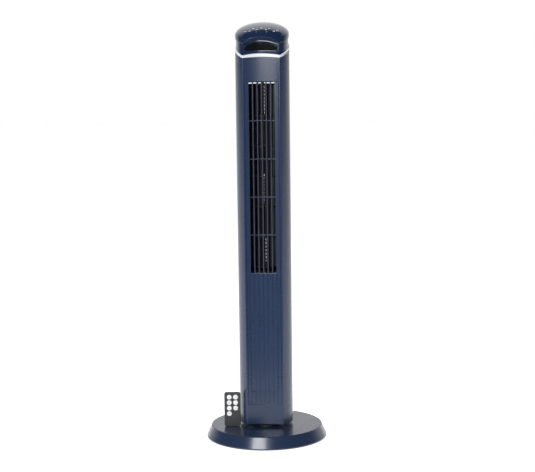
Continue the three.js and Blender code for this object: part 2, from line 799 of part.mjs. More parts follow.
function addMotor(parent) {
  const bore = shaftRadius + gap;
  const motor = turned([
    [0, motorTop - motorHeight],
    [motorRadius - motorEdge, motorTop - motorHeight],
    [motorRadius, motorTop - motorHeight + motorEdge],
    [motorRadius, motorTop],
    [motorBossRadius, motorTop],
    [motorBossRadius, motorTop + motorBoss],
    [bore, motorTop + motorBoss],
    [bore, motorTop - motorBore],
    [0, motorTop - motorBore],
  ], 40);
  add(parent, 'fan_motor', motor, steel).position.y = wheelY;

  const neck = mountRadius - mountGroove;
  const [below, above] = [deckBottom - overlap, deckTop + overlap];
  const deck = cut(
    solid(prism(wholeSection(coreInset), deckBottom, deckTop)),
    rod(shaftRadius + couplingWall, below, above).translate(0, wheelY, 0),
    ...mountPlaces().map(({ x, y }) => rod(neck + gap, below, above).translate(x, y, 0)),
  );
  add(parent, 'motor_deck', deck, blackPlastic);

  mountPlaces().forEach(({ x, y }, i) => {
    const mount = turned([
      [mountBore, motorTop + gap],
      [mountRadius, motorTop + gap],
      [mountRadius, deckBottom - gap],
      [neck, deckBottom - gap],
      [neck, deckTop + gap],
      [mountRadius, deckTop + gap],
      [mountRadius, deckTop + mountLip],
      [mountBore, deckTop + mountLip],
      [mountBore, motorTop + gap],
    ], 12);
    add(parent, `rubber_mount_${i + 1}`, mount, rubber).position.set(x, y, 0);
  });
}

function addTopBearing(parent) {
  const z = bearingPlateBottom;
  const above = z + deckThickness;
  const plate = cut(
    solid(prism(wholeSection(coreInset), z, above)),
    rod(bushRadius + gap, z - overlap, above + overlap).translate(0, wheelY, 0),
  );
  add(parent, 'top_bearing_plate', plate, blackPlastic);
  const bore = stubRadius + gap;
  const bush = turned([
    [bore, z],
    [bushRadius, z],
    [bushRadius, above + gap],
    [bushRadius + bushFlange, above + gap],
    [bushRadius + bushFlange, above + bushRise],
    [bore, above + bushRise],
    [bore, z],
  ], 24);
  add(parent, 'top_bush', bush, rubber).position.y = wheelY;
}

function addPowerBoard(parent) {
  const z = coverBottom + boardRise;
  const y = wheelY + boardSetback;
  const plate = box(-boardHalf, boardHalf, y, y + boardThickness, z, z + boardHeight);
  const transformer = { x: [-24, 2], depth: 18, rise: [10, 38] };
  const relay = { x: [8, 22], depth: 14, rise: [52, 78] };
  const capacitor = { x: [-22, -8], depth: 9, rise: [56, 84] };
  const board = [transformer, relay, capacitor].reduce((sum, { x, depth, rise }) => join(
    sum,
    box(x[0], x[1], y - depth, y + overlap, z + rise[0], z + rise[1]),
  ), solid(plate));
  add(parent, 'power_board', board, boardGreen);
}

// ---------- Trim ring and head ----------

// The ring before it is bored out.
function ringBlank() {
  const blank = prism(wholeSection(0), ringBase, ringBase + ringHeight);
  return solid(fitEnds(blank, ringUnder, ringOver));
}

function addTrimRing(parent) {
  const ring = cut(
    ringBlank(),
    prism(wholeSection(ringWidth), ringBase - towerRadius, ringBase + towerRadius),
  );
  add(parent, 'trim_ring', ring, silverTrim);
}

function windowOutline(margin) {
  const sill = ringBase + ringSlope * creaseY + ringHeight + ringArch + windowSill;
  const half = windowHalf - margin;
  const points = [];
  const top = (x) => archCentre - windowTopEdge - archFall * x ** 2 - margin;
  const steps = 12;
  for (let i = 0; i <= steps; i++) {
    const x = half - (2 * half * i) / steps;
    points.push(new THREE.Vector2(x, i === 0 || i === steps ? top(x) - windowShoulder : top(x)));
  }
  points.push(new THREE.Vector2(-half, sill + margin), new THREE.Vector2(half, sill + margin));
  return points;
}

// The window's outline pushed through the front of the head.
function windowPrism(margin) {
  return prism(windowOutline(margin), 0, towerRadius).rotateX(Math.PI / 2);
}

// The recess under the hood: everything in front of the display and below the arch.
function recessPrism(margin) {
  const back = panelY(0, headInner) + gap;
  const half = creaseHalf + recessMargin;
  const bottom = ringBase + ringSlope * creaseY - ringHeight;
  const steps = 16;
  const arch = [];
  for (let i = 0; i <= steps; i++) {
    const x = half - (2 * half * i) / steps;
    arch.push(new THREE.Vector2(x, archCentre - archFall * x ** 2 - margin));
  }
  arch.push(new THREE.Vector2(-half, bottom), new THREE.Vector2(half, bottom));
  const recess = prism(arch, 0, towerRadius + back).rotateX(Math.PI / 2).translate(0, back, 0);
  const position = recess.attributes.position;
  for (let i = 0; i < position.count; i++) {
    const lift = hoodSlope * (position.getY(i) - panelY(0, headInset));
    position.setZ(i, position.getZ(i) - lift);
  }
  return recess;
}

// The room below the cap's rim, over the front half of the head.
function underCap(margin) {
  const wedge = box(-towerRadius, towerRadius, -towerRadius, 0, 0, overallHeight);
  return fitEnds(wedge, () => ringBase - towerRadius, (x, y) => capUnder(x, y) - margin);
}

function addHead(parent) {
  // The feet of the housing and the bezel follow the ring's upper face.
  const footOnRing = (x, y) => ringUnder(x, y) + gap + overlap;
  const onRing = (tall) => solid(tall).subtract(ringBlank().translate([0, 0, gap]));
  const housing = fitEnds(
    prism(roundChannel(headInset, headInner, creaseBearing, 36), ringBase, capBase),
    footOnRing,
    (x, y) => capUnder(x, y) - gap,
  );
  add(parent, 'head_housing', onRing(housing), navyGloss);

  const side = (inset) => crease(inset).x - 1.5 * gap;
  const plan = [
    ...panelPoints(headInset, -side(headInset), side(headInset), 16),
    ...panelPoints(headInner, side(headInner), -side(headInner), 16),
  ];
  const tall = fitEnds(prism(plan, ringBase, overallHeight), footOnRing, () => overallHeight);
  const bezel = onRing(tall).intersect(join(solid(recessPrism(gap)), underCap(gap)));
  add(parent, 'display_bezel', cut(bezel, windowPrism(0)), navyGloss);

  const lensFront = headInset + lensSink;
  const lens = solid(prism(
    panelStrip(lensFront, lensFront + lensThickness, windowHalf, 12),
    ringBase - towerRadius,
    overallHeight,
  )).intersect(solid(windowPrism(gap)));
  add(parent, 'display_lens', lens, smokedPlastic);

  const { half, height, setback, drop } = displayBoard;
  const boardY = panelY(0, headInner) + setback;
  const boardTop = capUnder(0, boardY) - drop;
  const board = box(-half, half, boardY, boardY + boardThickness, boardTop - height, boardTop);
  add(parent, 'display_board', board, boardGreen);
}

// The dome as a solid, lifted or lowered by an inset from its outer surface.
function domeSolid(inset, lowerEdge) {
  const rim = towerRadius - inset;
  const profile = [[0, lowerEdge], [rim - capTuck, lowerEdge], [rim, lowerEdge + capTuck]];
  const steps = 6;
  for (let i = 0; i <= steps; i++) {
    const angle = (i / steps) * (Math.PI / 2);
    const radius = i === steps ? 0 : rim * Math.cos(angle);
    profile.push([radius, capBand + (domeRise - inset) * Math.sin(angle)]);
  }
  return fitSlope(turned(profile, 36));
}

// Lays a shape built on a level base onto the cap's sloping rim.
function fitSlope(geometry) {
  const position = geometry.attributes.position;
  for (let i = 0; i < position.count; i++) {
    position.setZ(i, position.getZ(i) + capUnder(position.getX(i), position.getY(i)));
  }
  return geometry;
}

// A rod square to the cap's rim, standing on the control board under one key.
function keyRod(place, radius, bottom, top) {
  const geometry = rod(radius, bottom, top, 16).rotateX(-capTilt);
  return geometry.translate(place.x, place.y, capUnder(0, place.y));
}

function addCap(parent) {
  const hollowFront = panelY(0, headInner) + gap + wall;
  const hollow = solid(domeSolid(wall + capTuck, -overlap)).intersect(
    solid(box(-towerRadius, towerRadius, hollowFront, towerRadius, ringBase, overallHeight)),
  );
  let cap = solid(domeSolid(0, 0)).subtract(hollow);
  cap = cut(cap, recessPrism(0));
  cap = cut(cap, ...keyPlaces.map((place) => keyRod(place, keyRadius + gap, keyBoardRise, keyReach)));
  add(parent, 'top_cap', cap, navyGloss);

  const boardFront = hollowFront + 2 * gap;
  const boardTop = keyBoardRise + boardThickness;
  let board = solid(fitSlope(box(
    -keyBoardHalf, keyBoardHalf, boardFront, keyBoardBack, keyBoardRise, boardTop,
  )));
  for (const place of keyPlaces) {
    board = join(board, keyRod(place, switchRadius, boardTop - overlap, boardTop + switchHeight));
  }
  add(parent, 'control_board', board, boardGreen);
}

function addKeys(parent) {
  const bottom = keyBoardRise + boardThickness + switchHeight + keyRest;
  keyPlaces.forEach((place, i) => {
    const key = solid(keyRod(place, keyRadius, bottom, keyReach)).intersect(solid(domeSolid(0, 0)));
    add(parent, `key_${i + 1}`, key, navyGloss);
  });
}

// ---------- Remote control ----------

function addRemote(parent) {
  const remote = new THREE.Group();
  const reach = towerRadius + remoteTowerGap + remoteWidth / 2;
  remote.position.set(
    reach * Math.cos(remoteBearing),
    reach * Math.sin(remoteBearing),
    baseTop + gap,
  );
  remote.rotation.z = remoteTurn;
  parent.add(remote);

  const half = remoteThickness / 2;
  const upright = (geometry, z) => geometry.rotateX(Math.PI / 2).translate(0, 0, z);
  const places = [];
  for (let row = 0; row < remoteKeyRows.left; row++) {
    for (const side of row < remoteKeyRows.right ? [-1, 1] : [-1]) {
      places.push([(side * remoteKeyPitchX) / 2, remoteLength - remoteKeyTop - row * remoteKeyPitchZ]);
    }
  }
  const well = ([x, z]) => upright(rod(remoteKeyRadius + 2 * gap, 0, remoteThickness, 12), z)
    .translate(x, -half + remoteKeyDepth, 0);
  const trayBack = half - remoteBack;
  const trayFront = trayBack - batteryTray.thickness;
  const slot = box(-batteryTray.half, batteryTray.half, trayFront, trayBack, -overlap, batteryTray.height);
  const trayHalf = batteryTray.half - gap;
  const windowHalfWidth = emitterWindow.half - gap;
  const windowDepth = emitterWindow.depth - gap;
  const outline = roundedOutline(remoteWidth, remoteLength, remoteCorner);
  const shell = cut(
    solid(upright(prism(outline, -half, half), remoteLength / 2)),
    ...places.map(well),
    slot,
    box(
      -emitterWindow.half, emitterWindow.half, -emitterWindow.depth, emitterWindow.depth,
      remoteLength - emitterWindow.height, remoteLength + overlap,
    ),
  );
  add(remote, 'remote_case', shell, charcoalPlastic);
  add(
    remote,
    'remote_battery_tray',
    box(-trayHalf, trayHalf, trayFront + gap, trayBack - gap, 0, batteryTray.height - gap),
    charcoalPlastic,
  );
  add(
    remote,
    'remote_emitter',
    box(
      -windowHalfWidth, windowHalfWidth, -windowDepth, windowDepth,
      remoteLength - emitterWindow.height + gap, remoteLength,
    ),
    smokedPlastic,
  );
  const buttonHeight = remoteKeyDepth + remoteKeyProud - remoteKeyRest;
  places.forEach(([x, z], i) => {
    const button = upright(rod(remoteKeyRadius, 0, buttonHeight, 12), z)
      .translate(x, -half + remoteKeyDepth - remoteKeyRest, 0);
    add(remote, `remote_button_${i + 1}`, button, whitePlastic);
  });
}

// ---------- Assembly ----------

addBase(fan);
addSwivel(fan);
const tower = new THREE.Group();
fan.add(tower);
addTowerFloor(tower);
addSwingMotor(tower);
addPinion(tower);
addShells(tower);
addFrontInsert(tower);
addCover(tower);
addTray(tower);
addRearGrille(tower);
addAirDuct(tower);
addWheel(tower);
addMotor(tower);
addTopBearing(tower);
addPowerBoard(tower);
addTrimRing(tower);
addHead(tower);
addCap(tower);
addKeys(tower);
addRemote(fan);

export default fan;
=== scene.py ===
# A navy tower fan on its round base, with its remote control, as it is put together.
import math
import bmesh
import bpy
from mathutils import Matrix, Vector


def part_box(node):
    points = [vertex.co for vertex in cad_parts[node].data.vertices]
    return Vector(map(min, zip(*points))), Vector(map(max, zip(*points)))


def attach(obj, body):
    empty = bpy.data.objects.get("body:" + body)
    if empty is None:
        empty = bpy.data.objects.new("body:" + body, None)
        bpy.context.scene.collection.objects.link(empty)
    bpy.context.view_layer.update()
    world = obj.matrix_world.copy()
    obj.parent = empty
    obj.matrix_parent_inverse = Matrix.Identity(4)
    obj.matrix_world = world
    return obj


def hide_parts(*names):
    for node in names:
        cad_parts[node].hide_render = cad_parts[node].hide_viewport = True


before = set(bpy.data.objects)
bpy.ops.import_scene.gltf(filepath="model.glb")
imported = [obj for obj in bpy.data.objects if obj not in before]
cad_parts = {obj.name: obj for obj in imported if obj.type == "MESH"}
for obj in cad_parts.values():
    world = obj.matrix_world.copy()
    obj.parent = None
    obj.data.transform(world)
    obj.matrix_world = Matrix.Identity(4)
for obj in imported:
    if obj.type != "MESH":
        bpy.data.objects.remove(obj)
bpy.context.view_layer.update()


# ---- Studio ----
# A white sweep lit from behind, dark overhead and in front. One soft light stands to the left
# of the camera, and a wash from above, which glossy parts do not mirror, lights the floor.
eye_distance, eye_height, eye_turn = 3.553, 0.972, math.radians(3.7)
look_down, camera_roll = math.radians(7.59), math.radians(0.7)

camera_data = bpy.data.cameras.new("studio_camera")
camera_data.lens, camera_data.sensor_width = 98.85, 36.0
camera = bpy.data.objects.new("studio_camera", camera_data)
camera.location = (
    eye_distance * math.sin(eye_turn),
    -eye_distance * math.cos(eye_turn),
    eye_height,
)
aim_shift = 0.0021
turned = Matrix.Rotation(eye_turn - aim_shift, 4, "Z")
tilted = Matrix.Rotation(math.pi / 2 - look_down, 4, "X")
camera.rotation_euler = (turned @ tilted @ Matrix.Rotation(-camera_roll, 4, "Z")).to_euler()
bpy.context.collection.objects.link(camera)
bpy.context.scene.camera = camera
bpy.context.scene.view_settings.view_transform = "Standard"

world = bpy.data.worlds.new("studio_surround")
bpy.context.scene.world = world
world.use_nodes = True
sky = world.node_tree.nodes
sky.clear()
sky_links = world.node_tree.links
direction = sky.new("ShaderNodeTexCoord")
split = sky.new("ShaderNodeSeparateXYZ")
sky_links.new(direction.outputs["Generated"], split.inputs[0])
height_ramp = sky.new("ShaderNodeMapRange")
height_ramp.interpolation_type = "SMOOTHSTEP"
for socket, value in zip(("From Min", "From Max", "To Min", "To Max"), (0.755, 0.80, 1.0, 0.06)):
    height_ramp.inputs[socket].default_value = value
sky_links.new(split.outputs["Z"], height_ramp.inputs["Value"])
depth_ramp = sky.new("ShaderNodeMapRange")
depth_ramp.interpolation_type = "SMOOTHSTEP"
for socket, value in zip(("From Min", "From Max", "To Min", "To Max"), (0.2, 0.75, 0.07, 1.0)):
    depth_ramp.inputs[socket].default_value = value
sky_links.new(split.outputs["Y"], depth_ramp.inputs["Value"])
shade = sky.new("ShaderNodeMath")
shade.operation = "MULTIPLY"
sky_links.new(height_ramp.outputs[0], shade.inputs[0])
sky_links.new(depth_ramp.outputs[0], shade.inputs[1])
seen = sky.new("ShaderNodeLightPath")
strength = sky.new("ShaderNodeMath")
strength.operation = "MAXIMUM"
sky_links.new(shade.outputs[0], strength.inputs[0])
sky_links.new(seen.outputs["Is Camera Ray"], strength.inputs[1])
surround = sky.new("ShaderNodeBackground")
surround.inputs["Color"].default_value = (1.0, 1.0, 1.0, 1.0)
sky_links.new(strength.outputs[0], surround.inputs["Strength"])
sky_out = sky.new("ShaderNodeOutputWorld")
sky_links.new(surround.outputs[0], sky_out.inputs[0])


def soft_light(name, place, target, width, height, power, mirrored=True):
    """A rectangular light aimed at a point, which glossy parts may or may not mirror."""
    data = bpy.data.lights.new(name, "AREA")
    data.shape, data.size, data.size_y, data.energy = "RECTANGLE", width, height, power
    light = bpy.data.objects.new(name, data)
    light.location = place
    light.visible_glossy = mirrored
    light.rotation_euler = (Vector(target) - Vector(place)).to_track_quat("-Z", "Y").to_euler()
    bpy.context.collection.objects.link(light)


soft_light("front_softbox", (-0.75, -3.3, 1.78), (0, 0, 0.9), 1.6, 1.45, 115)
soft_light("floor_wash", (0, 0.6, 4.2), (0, 0, 0), 3.0, 3.0, 70, mirrored=False)

floor_half = 14.0
floor_mesh = bpy.data.meshes.new("studio_floor")
floor_mesh.from_pydata(
    [(-floor_half, -floor_half, 0), (floor_half, -floor_half, 0),
     (floor_half, floor_half, 0), (-floor_half, floor_half, 0)], [], [(0, 1, 2, 3)],
)
studio_floor = bpy.data.objects.new("studio_floor", floor_mesh)
bpy.context.collection.objects.link(studio_floor)
floor_finish = bpy.data.materials.new("studio_white")
floor_finish.use_nodes = True
floor_shader = floor_finish.node_tree.nodes["Principled BSDF"]
floor_shader.inputs["Base Color"].default_value = (0.92, 0.92, 0.92, 1)
floor_shader.inputs["Roughness"].default_value = 0.9
floor_shader.inputs["Specular IOR Level"].default_value = 0.0
floor_shader.inputs["Emission Color"].default_value = (1, 1, 1, 1)
floor_shader.inputs["Emission Strength"].default_value = 0.8
floor_nodes, floor_links = floor_finish.node_tree.nodes, floor_finish.node_tree.links
floor_place = floor_nodes.new("ShaderNodeTexCoord")
floor_depth = floor_nodes.new("ShaderNodeSeparateXYZ")
floor_links.new(floor_place.outputs["Object"], floor_depth.inputs[0])
towards_front = floor_nodes.new("ShaderNodeMapRange")
towards_front.interpolation_type = "SMOOTHSTEP"
for socket, value in zip(("From Min", "From Max", "To Min", "To Max"), (-0.85, -0.3, 0.06, 1.0)):
    towards_front.inputs[socket].default_value = value
floor_links.new(floor_depth.outputs["Y"], towards_front.inputs["Value"])
floor_seen = floor_nodes.new("ShaderNodeLightPath")
floor_share = floor_nodes.new("ShaderNodeMath")
floor_share.operation = "MAXIMUM"
floor_links.new(towards_front.outputs[0], floor_share.inputs[0])
floor_links.new(floor_seen.outputs["Is Camera Ray"], floor_share.inputs[1])
dark_front = floor_nodes.new("ShaderNodeBsdfDiffuse")
dark_front.inputs["Color"].default_value = (0.03, 0.03, 0.03, 1)
floor_mix = floor_nodes.new("ShaderNodeMixShader")
floor_links.new(floor_share.outputs[0], floor_mix.inputs[0])
floor_links.new(dark_front.outputs[0], floor_mix.inputs[1])
floor_links.new(floor_shader.outputs[0], floor_mix.inputs[2])
floor_links.new(floor_mix.outputs[0], floor_nodes["Material Output"].inputs["Surface"])
floor_mesh.materials.append(floor_finish)


# ---- Base cover ----
# The flared disc is one thick moulding in satin navy plastic with a fine spark-eroded
# grain. Its rim is rounded, the top is flat and the edge stands 2 mm off the floor.
def moulded(name, color, roughness, grain=0.25, grain_size=2600, coat=0.0, uneven=0.05):
    """Moulded plastic: a fine grain in the surface and a faintly uneven sheen and colour."""
    finish = bpy.data.materials.new(name)
    finish.use_nodes = True
    nodes, links = finish.node_tree.nodes, finish.node_tree.links
    shader = nodes["Principled BSDF"]
    place = nodes.new("ShaderNodeTexCoord")
    fine = nodes.new("ShaderNodeTexNoise")
    fine.inputs["Scale"].default_value = grain_size
    fine.inputs["Detail"].default_value = 3
    links.new(place.outputs["Object"], fine.inputs["Vector"])
    bump = nodes.new("ShaderNodeBump")
    bump.inputs["Strength"].default_value = grain
    bump.inputs["Distance"].default_value = 0.00005
    links.new(fine.outputs["Fac"], bump.inputs["Height"])
    links.new(bump.outputs["Normal"], shader.inputs["Normal"])
    broad = nodes.new("ShaderNodeTexNoise")
    broad.inputs["Scale"].default_value = 14
    broad.inputs["Detail"].default_value = 5
    links.new(place.outputs["Object"], broad.inputs["Vector"])
    sheen = nodes.new("ShaderNodeMapRange")
    sheen.inputs["To Min"].default_value = roughness - uneven
    sheen.inputs["To Max"].default_value = roughness + uneven
    links.new(broad.outputs["Fac"], sheen.inputs["Value"])
    links.new(sheen.outputs["Result"], shader.inputs["Roughness"])
    tint = nodes.new("ShaderNodeMix")
    tint.data_type = "RGBA"
    tint.inputs["A"].default_value = (*[c * 0.93 for c in color], 1)
    tint.inputs["B"].default_value = (*[min(1, c * 1.07) for c in color], 1)
    links.new(broad.outputs["Fac"], tint.inputs["Factor"])
    links.new(tint.outputs["Result"], shader.inputs["Base Color"])
    shader.inputs["Coat Weight"].default_value = coat
    shader.inputs["Coat Roughness"].default_value = 0.05
    return finish


def smooth_faces(mesh, limit=35):
    """Smooth shading, with the edges sharper than the limit kept crisp."""
    work = bmesh.new()
    work.from_mesh(mesh)
    for face in work.faces:
        face.smooth = True
    for edge in work.edges:
        sharp = len(edge.link_faces) == 2 and edge.calc_face_angle() > math.radians(limit)
        edge.smooth = not sharp
    work.to_mesh(mesh)
    work.free()


def settle(piece):
    """Turns a piece's modifiers into its plain mesh."""
    graph = bpy.context.evaluated_depsgraph_get()
    mesh = bpy.data.meshes.new_from_object(piece.evaluated_get(graph))
    piece.modifiers.clear()
    piece.data = mesh


def finish_shading(piece, limit=35):
    """Smooth shading in which the broad faces lead, so that narrow bevels take up the turn."""
    smooth_faces(piece.data, limit)
    normals = piece.modifiers.new("normals", "WEIGHTED_NORMAL")
    normals.keep_sharp = True
    settle(piece)


def build(name, points, faces, finish, bevel=0.0, bevel_steps=3, limit=35):
    """A piece from points and faces, welded, turned outwards and with its sharp edges rounded."""
    mesh = bpy.data.meshes.new(name)
    mesh.from_pydata([tuple(p) for p in points], [], faces)
    work = bmesh.new()
    work.from_mesh(mesh)
    bmesh.ops.remove_doubles(work, verts=work.verts, dist=1e-6)
    bmesh.ops.delete(work, geom=[v for v in work.verts if not v.link_faces], context="VERTS")
    bmesh.ops.recalc_face_normals(work, faces=work.faces)
    work.to_mesh(mesh)
    work.free()
    piece = bpy.data.objects.new(name, mesh)
    bpy.context.collection.objects.link(piece)
    mesh.materials.append(finish)
    if bevel:
        edge = piece.modifiers.new("edge", "BEVEL")
        edge.width, edge.segments = bevel, bevel_steps
        edge.limit_method, edge.angle_limit = "ANGLE", math.radians(limit)
        settle(piece)
    finish_shading(piece, limit)
    return piece


def arc(centre, radius, start, end, steps):
    """Points on an arc in a profile, angles in degrees."""
    angles = [math.radians(start + (end - start) * i / steps) for i in range(steps + 1)]
    return [(centre[0] + radius * math.cos(a), centre[1] + radius * math.sin(a)) for a in angles]


def lathe(name, profile, finish, segments=160, centre=(0, 0), closed=True, **kwargs):
    """A profile of (radius, height) turned about a vertical line."""
    points, faces = [], []
    count = len(profile)
    for s in range(segments):
        a = 2 * math.pi * s / segments
        points += [(centre[0] + r * math.cos(a), centre[1] + r * math.sin(a), z) for r, z in profile]
    for s in range(segments):
        t = (s + 1) % segments
        for i in range(count if closed else count - 1):
            j = (i + 1) % count
            faces.append((s * count + i, t * count + i, t * count + j, s * count + j))
    return build(name, points, faces, finish, **kwargs)


def place_piece(piece, body, slot, *nodes):
    """Ties a finished piece to its body and hides the CAD nodes that it stands for. The slot is not used.
    """
    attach(piece, body)
    if nodes:
        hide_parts(*nodes)


satin_navy = moulded("satin_navy", (0.017, 0.034, 0.082), 0.27)
base_navy = moulded("base_navy", (0.013, 0.025, 0.059), 0.26, coat=0.15)
black_moulded = moulded("black_moulded", (0.012, 0.013, 0.015), 0.5, grain=0.4)

mm = 0.001
cover_low, cover_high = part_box("base_cover")
base_radius, base_top = cover_high.x, cover_high.z
base_edge = cover_low.z
rim_radius = base_radius - 10.5 * mm
rim_round = 3.0 * mm
skin = 2.4 * mm
slope = math.degrees(math.atan2(base_top - base_edge - 3 * mm, base_radius - rim_radius))
hub_hole = 10.2 * mm
cover_profile = (
    [(hub_hole, base_top), (rim_radius - rim_round - 1.4 * mm, base_top)]
    + arc((rim_radius - rim_round - 0.6 * mm, base_top - rim_round), rim_round, 90, 90 - slope, 8)
    + [(base_radius - 0.5 * mm, base_edge + 4.2 * mm)]
    + arc((base_radius - 1.2 * mm, base_edge + 3.0 * mm), 1.2 * mm, 25, 0, 3)
    + [(base_radius, base_edge + 0.6 * mm), (base_radius - 0.6 * mm, base_edge)]
    + [(base_radius - skin, base_edge), (rim_radius - rim_round - skin, base_top - skin)]
    + [(hub_hole, base_top - skin)]
)
base_moulding = lathe("base_moulding", cover_profile, base_navy, segments=220)
place_piece(base_moulding, "base", "navy_plastic", "base_cover")


# ---- Underside of the base ----
# A black plate closes the base from below, held by six cross-head screws near its edge.
# Eight rubber pads are pressed into it and carry the fan.
def repeat(piece, count, step=(0, 0, 0), turn=0.0, bend=0.0):
    """Repeats a piece's own mesh with Geometry Nodes: each copy is moved and turned on by one step.
    A bend lets a row across the panel follow its dish."""
    tree = bpy.data.node_groups.new(piece.name + "_repeat", "GeometryNodeTree")
    faces = tree.interface
    faces.new_socket("Item", in_out="INPUT", socket_type="NodeSocketGeometry")
    faces.new_socket("Count", in_out="INPUT", socket_type="NodeSocketInt")
    faces.new_socket("Step", in_out="INPUT", socket_type="NodeSocketVector")
    faces.new_socket("Turn", in_out="INPUT", socket_type="NodeSocketFloat")
    faces.new_socket("Bend", in_out="INPUT", socket_type="NodeSocketFloat")
    faces.new_socket("Start", in_out="INPUT", socket_type="NodeSocketFloat")
    faces.new_socket("Finish", in_out="INPUT", socket_type="NodeSocketMaterial")
    faces.new_socket("Row", in_out="OUTPUT", socket_type="NodeSocketGeometry")
    nodes, links = tree.nodes, tree.links
    start, end = nodes.new("NodeGroupInput"), nodes.new("NodeGroupOutput")
    line = nodes.new("GeometryNodeMeshLine")
    line.mode = "OFFSET"
    links.new(start.outputs["Count"], line.inputs["Count"])
    links.new(start.outputs["Step"], line.inputs["Offset"])
    number = nodes.new("GeometryNodeInputIndex")
    angle = nodes.new("ShaderNodeMath")
    angle.operation = "MULTIPLY"
    links.new(number.outputs[0], angle.inputs[0])
    links.new(start.outputs["Turn"], angle.inputs[1])
    about_z = nodes.new("ShaderNodeCombineXYZ")
    links.new(angle.outputs[0], about_z.inputs["Z"])
    place = nodes.new("GeometryNodeInputPosition")
    across = nodes.new("ShaderNodeSeparateXYZ")
    links.new(place.outputs[0], across.inputs[0])
    from_middle = nodes.new("ShaderNodeMath")
    from_middle.operation = "ADD"
    links.new(across.outputs["X"], from_middle.inputs[0])
    links.new(start.outputs["Start"], from_middle.inputs[1])
    squared = nodes.new("ShaderNodeMath")
    squared.operation = "MULTIPLY"
    links.new(from_middle.outputs[0], squared.inputs[0])
    links.new(from_middle.outputs[0], squared.inputs[1])
    fall = nodes.new("ShaderNodeMath")
    fall.operation = "MULTIPLY"
    links.new(squared.outputs[0], fall.inputs[0])
    links.new(start.outputs["Bend"], fall.inputs[1])
    forward = nodes.new("ShaderNodeCombineXYZ")
    links.new(fall.outputs[0], forward.inputs["Y"])
    dish = nodes.new("GeometryNodeSetPosition")
    links.new(line.outputs[0], dish.inputs["Geometry"])
    links.new(forward.outputs[0], dish.inputs["Offset"])
    copies = nodes.new("GeometryNodeInstanceOnPoints")
    links.new(dish.outputs[0], copies.inputs["Points"])
    links.new(start.outputs["Item"], copies.inputs["Instance"])
    links.new(about_z.outputs[0], copies.inputs["Rotation"])
    real = nodes.new("GeometryNodeRealizeInstances")
    links.new(copies.outputs[0], real.inputs[0])
    paint = nodes.new("GeometryNodeSetMaterial")
    links.new(real.outputs[0], paint.inputs["Geometry"])
    links.new(start.outputs["Finish"], paint.inputs["Material"])
    links.new(paint.outputs[0], end.inputs[0])
    rows = piece.modifiers.new("row", "NODES")
    rows.node_group = tree
    names = {s.name: s.identifier for s in tree.interface.items_tree if s.in_out == "INPUT"}
    rows[names["Count"]] = count
    rows[names["Step"]] = step
    rows[names["Turn"]] = turn
    rows[names["Bend"]] = -bend / 2
    rows[names["Start"]] = -step[0] * (count - 1) / 2
    rows[names["Finish"]] = piece.data.materials[0]
    settle(piece)
    bpy.data.node_groups.remove(tree)


plate_low, plate_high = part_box("base_plate")
plate_profile = [
    (0.0001, plate_high.z), (plate_high.x, plate_high.z), (plate_high.x, plate_low.z),
    (plate_high.x - 14 * mm, plate_low.z), (plate_high.x - 15 * mm, plate_low.z + 0.8 * mm),
    (0.0001, plate_low.z + 0.8 * mm),
]
base_plate = lathe("base_underplate", plate_profile, black_moulded, segments=160)
place_piece(base_plate, "base", "black_plastic", "base_plate")

pad_rubber = moulded("pad_rubber", (0.016, 0.016, 0.017), 0.8, grain=0.7, grain_size=1400)
foot_low, foot_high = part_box("foot_1")
foot_centre = (foot_low + foot_high) / 2
foot_radius = (foot_high.x - foot_low.x) / 2
foot_profile = [
    (0.0001, foot_high.z), (foot_radius, foot_high.z), (foot_radius, foot_low.z + 0.4 * mm),
    (foot_radius - 0.4 * mm, foot_low.z), (foot_radius - 2.0 * mm, foot_low.z),
    (foot_radius - 2.4 * mm, foot_low.z + 0.4 * mm), (0.0001, foot_low.z + 0.4 * mm),
]
feet = lathe("foot_pads", foot_profile, pad_rubber, segments=32, centre=foot_centre[:2])
repeat(feet, 8, turn=math.tau / 8)
place_piece(feet, "base", "rubber", *[f"foot_{i}" for i in range(1, 9)])

zinc = moulded("zinc_plate", (0.55, 0.55, 0.53), 0.32, grain=0.15)
zinc.node_tree.nodes["Principled BSDF"].inputs["Metallic"].default_value = 1.0


def screw_head(name, radius, height, segments=20):
    """A domed head with a cross cut into it, its seat on z = 0 and its dome upwards."""
    points, faces = [], []
    rings = 6
    for k in range(rings + 1):
        r = radius * (1 - k / rings)
        for s in range(segments):
            a = math.tau * s / segments
            x, y = r * math.cos(a), r * math.sin(a)
            in_cross = min(abs(x), abs(y)) < 0.17 * radius and r < 0.62 * radius
            z = height * math.sqrt(max(0, 1 - (r / radius) ** 2 * 0.8)) - (0.55 * height if in_cross else 0)
            points.append((x, y, z if k else 0.2 * height))
    for k in range(rings):
        for s in range(segments):
            t = (s + 1) % segments
            here, above = k * segments, (k + 1) * segments
            faces.append((here + s, here + t, above + t, above + s))
    base = len(points)
    for s in range(segments):
        a, t = math.tau * s / segments, (s + 1) % segments
        points.append((radius * math.cos(a), radius * math.sin(a), 0))
        faces.append((s, base + s, base + t, t))
    faces.append(tuple(range(base + segments - 1, base - 1, -1)))
    return build(name, points, faces, zinc)


base_screws = screw_head("base_screws", 3.2 * mm, 1.1 * mm)
screw_circle, screw_seat = 92 * mm, plate_low.z + 0.8 * mm
upside_down = Matrix.Rotation(math.pi, 4, "X")
base_screws.data.transform(Matrix.Translation((screw_circle, 0, screw_seat)) @ upside_down)
repeat(base_screws, 6, turn=math.tau / 6)
place_piece(base_screws, "base", "steel")


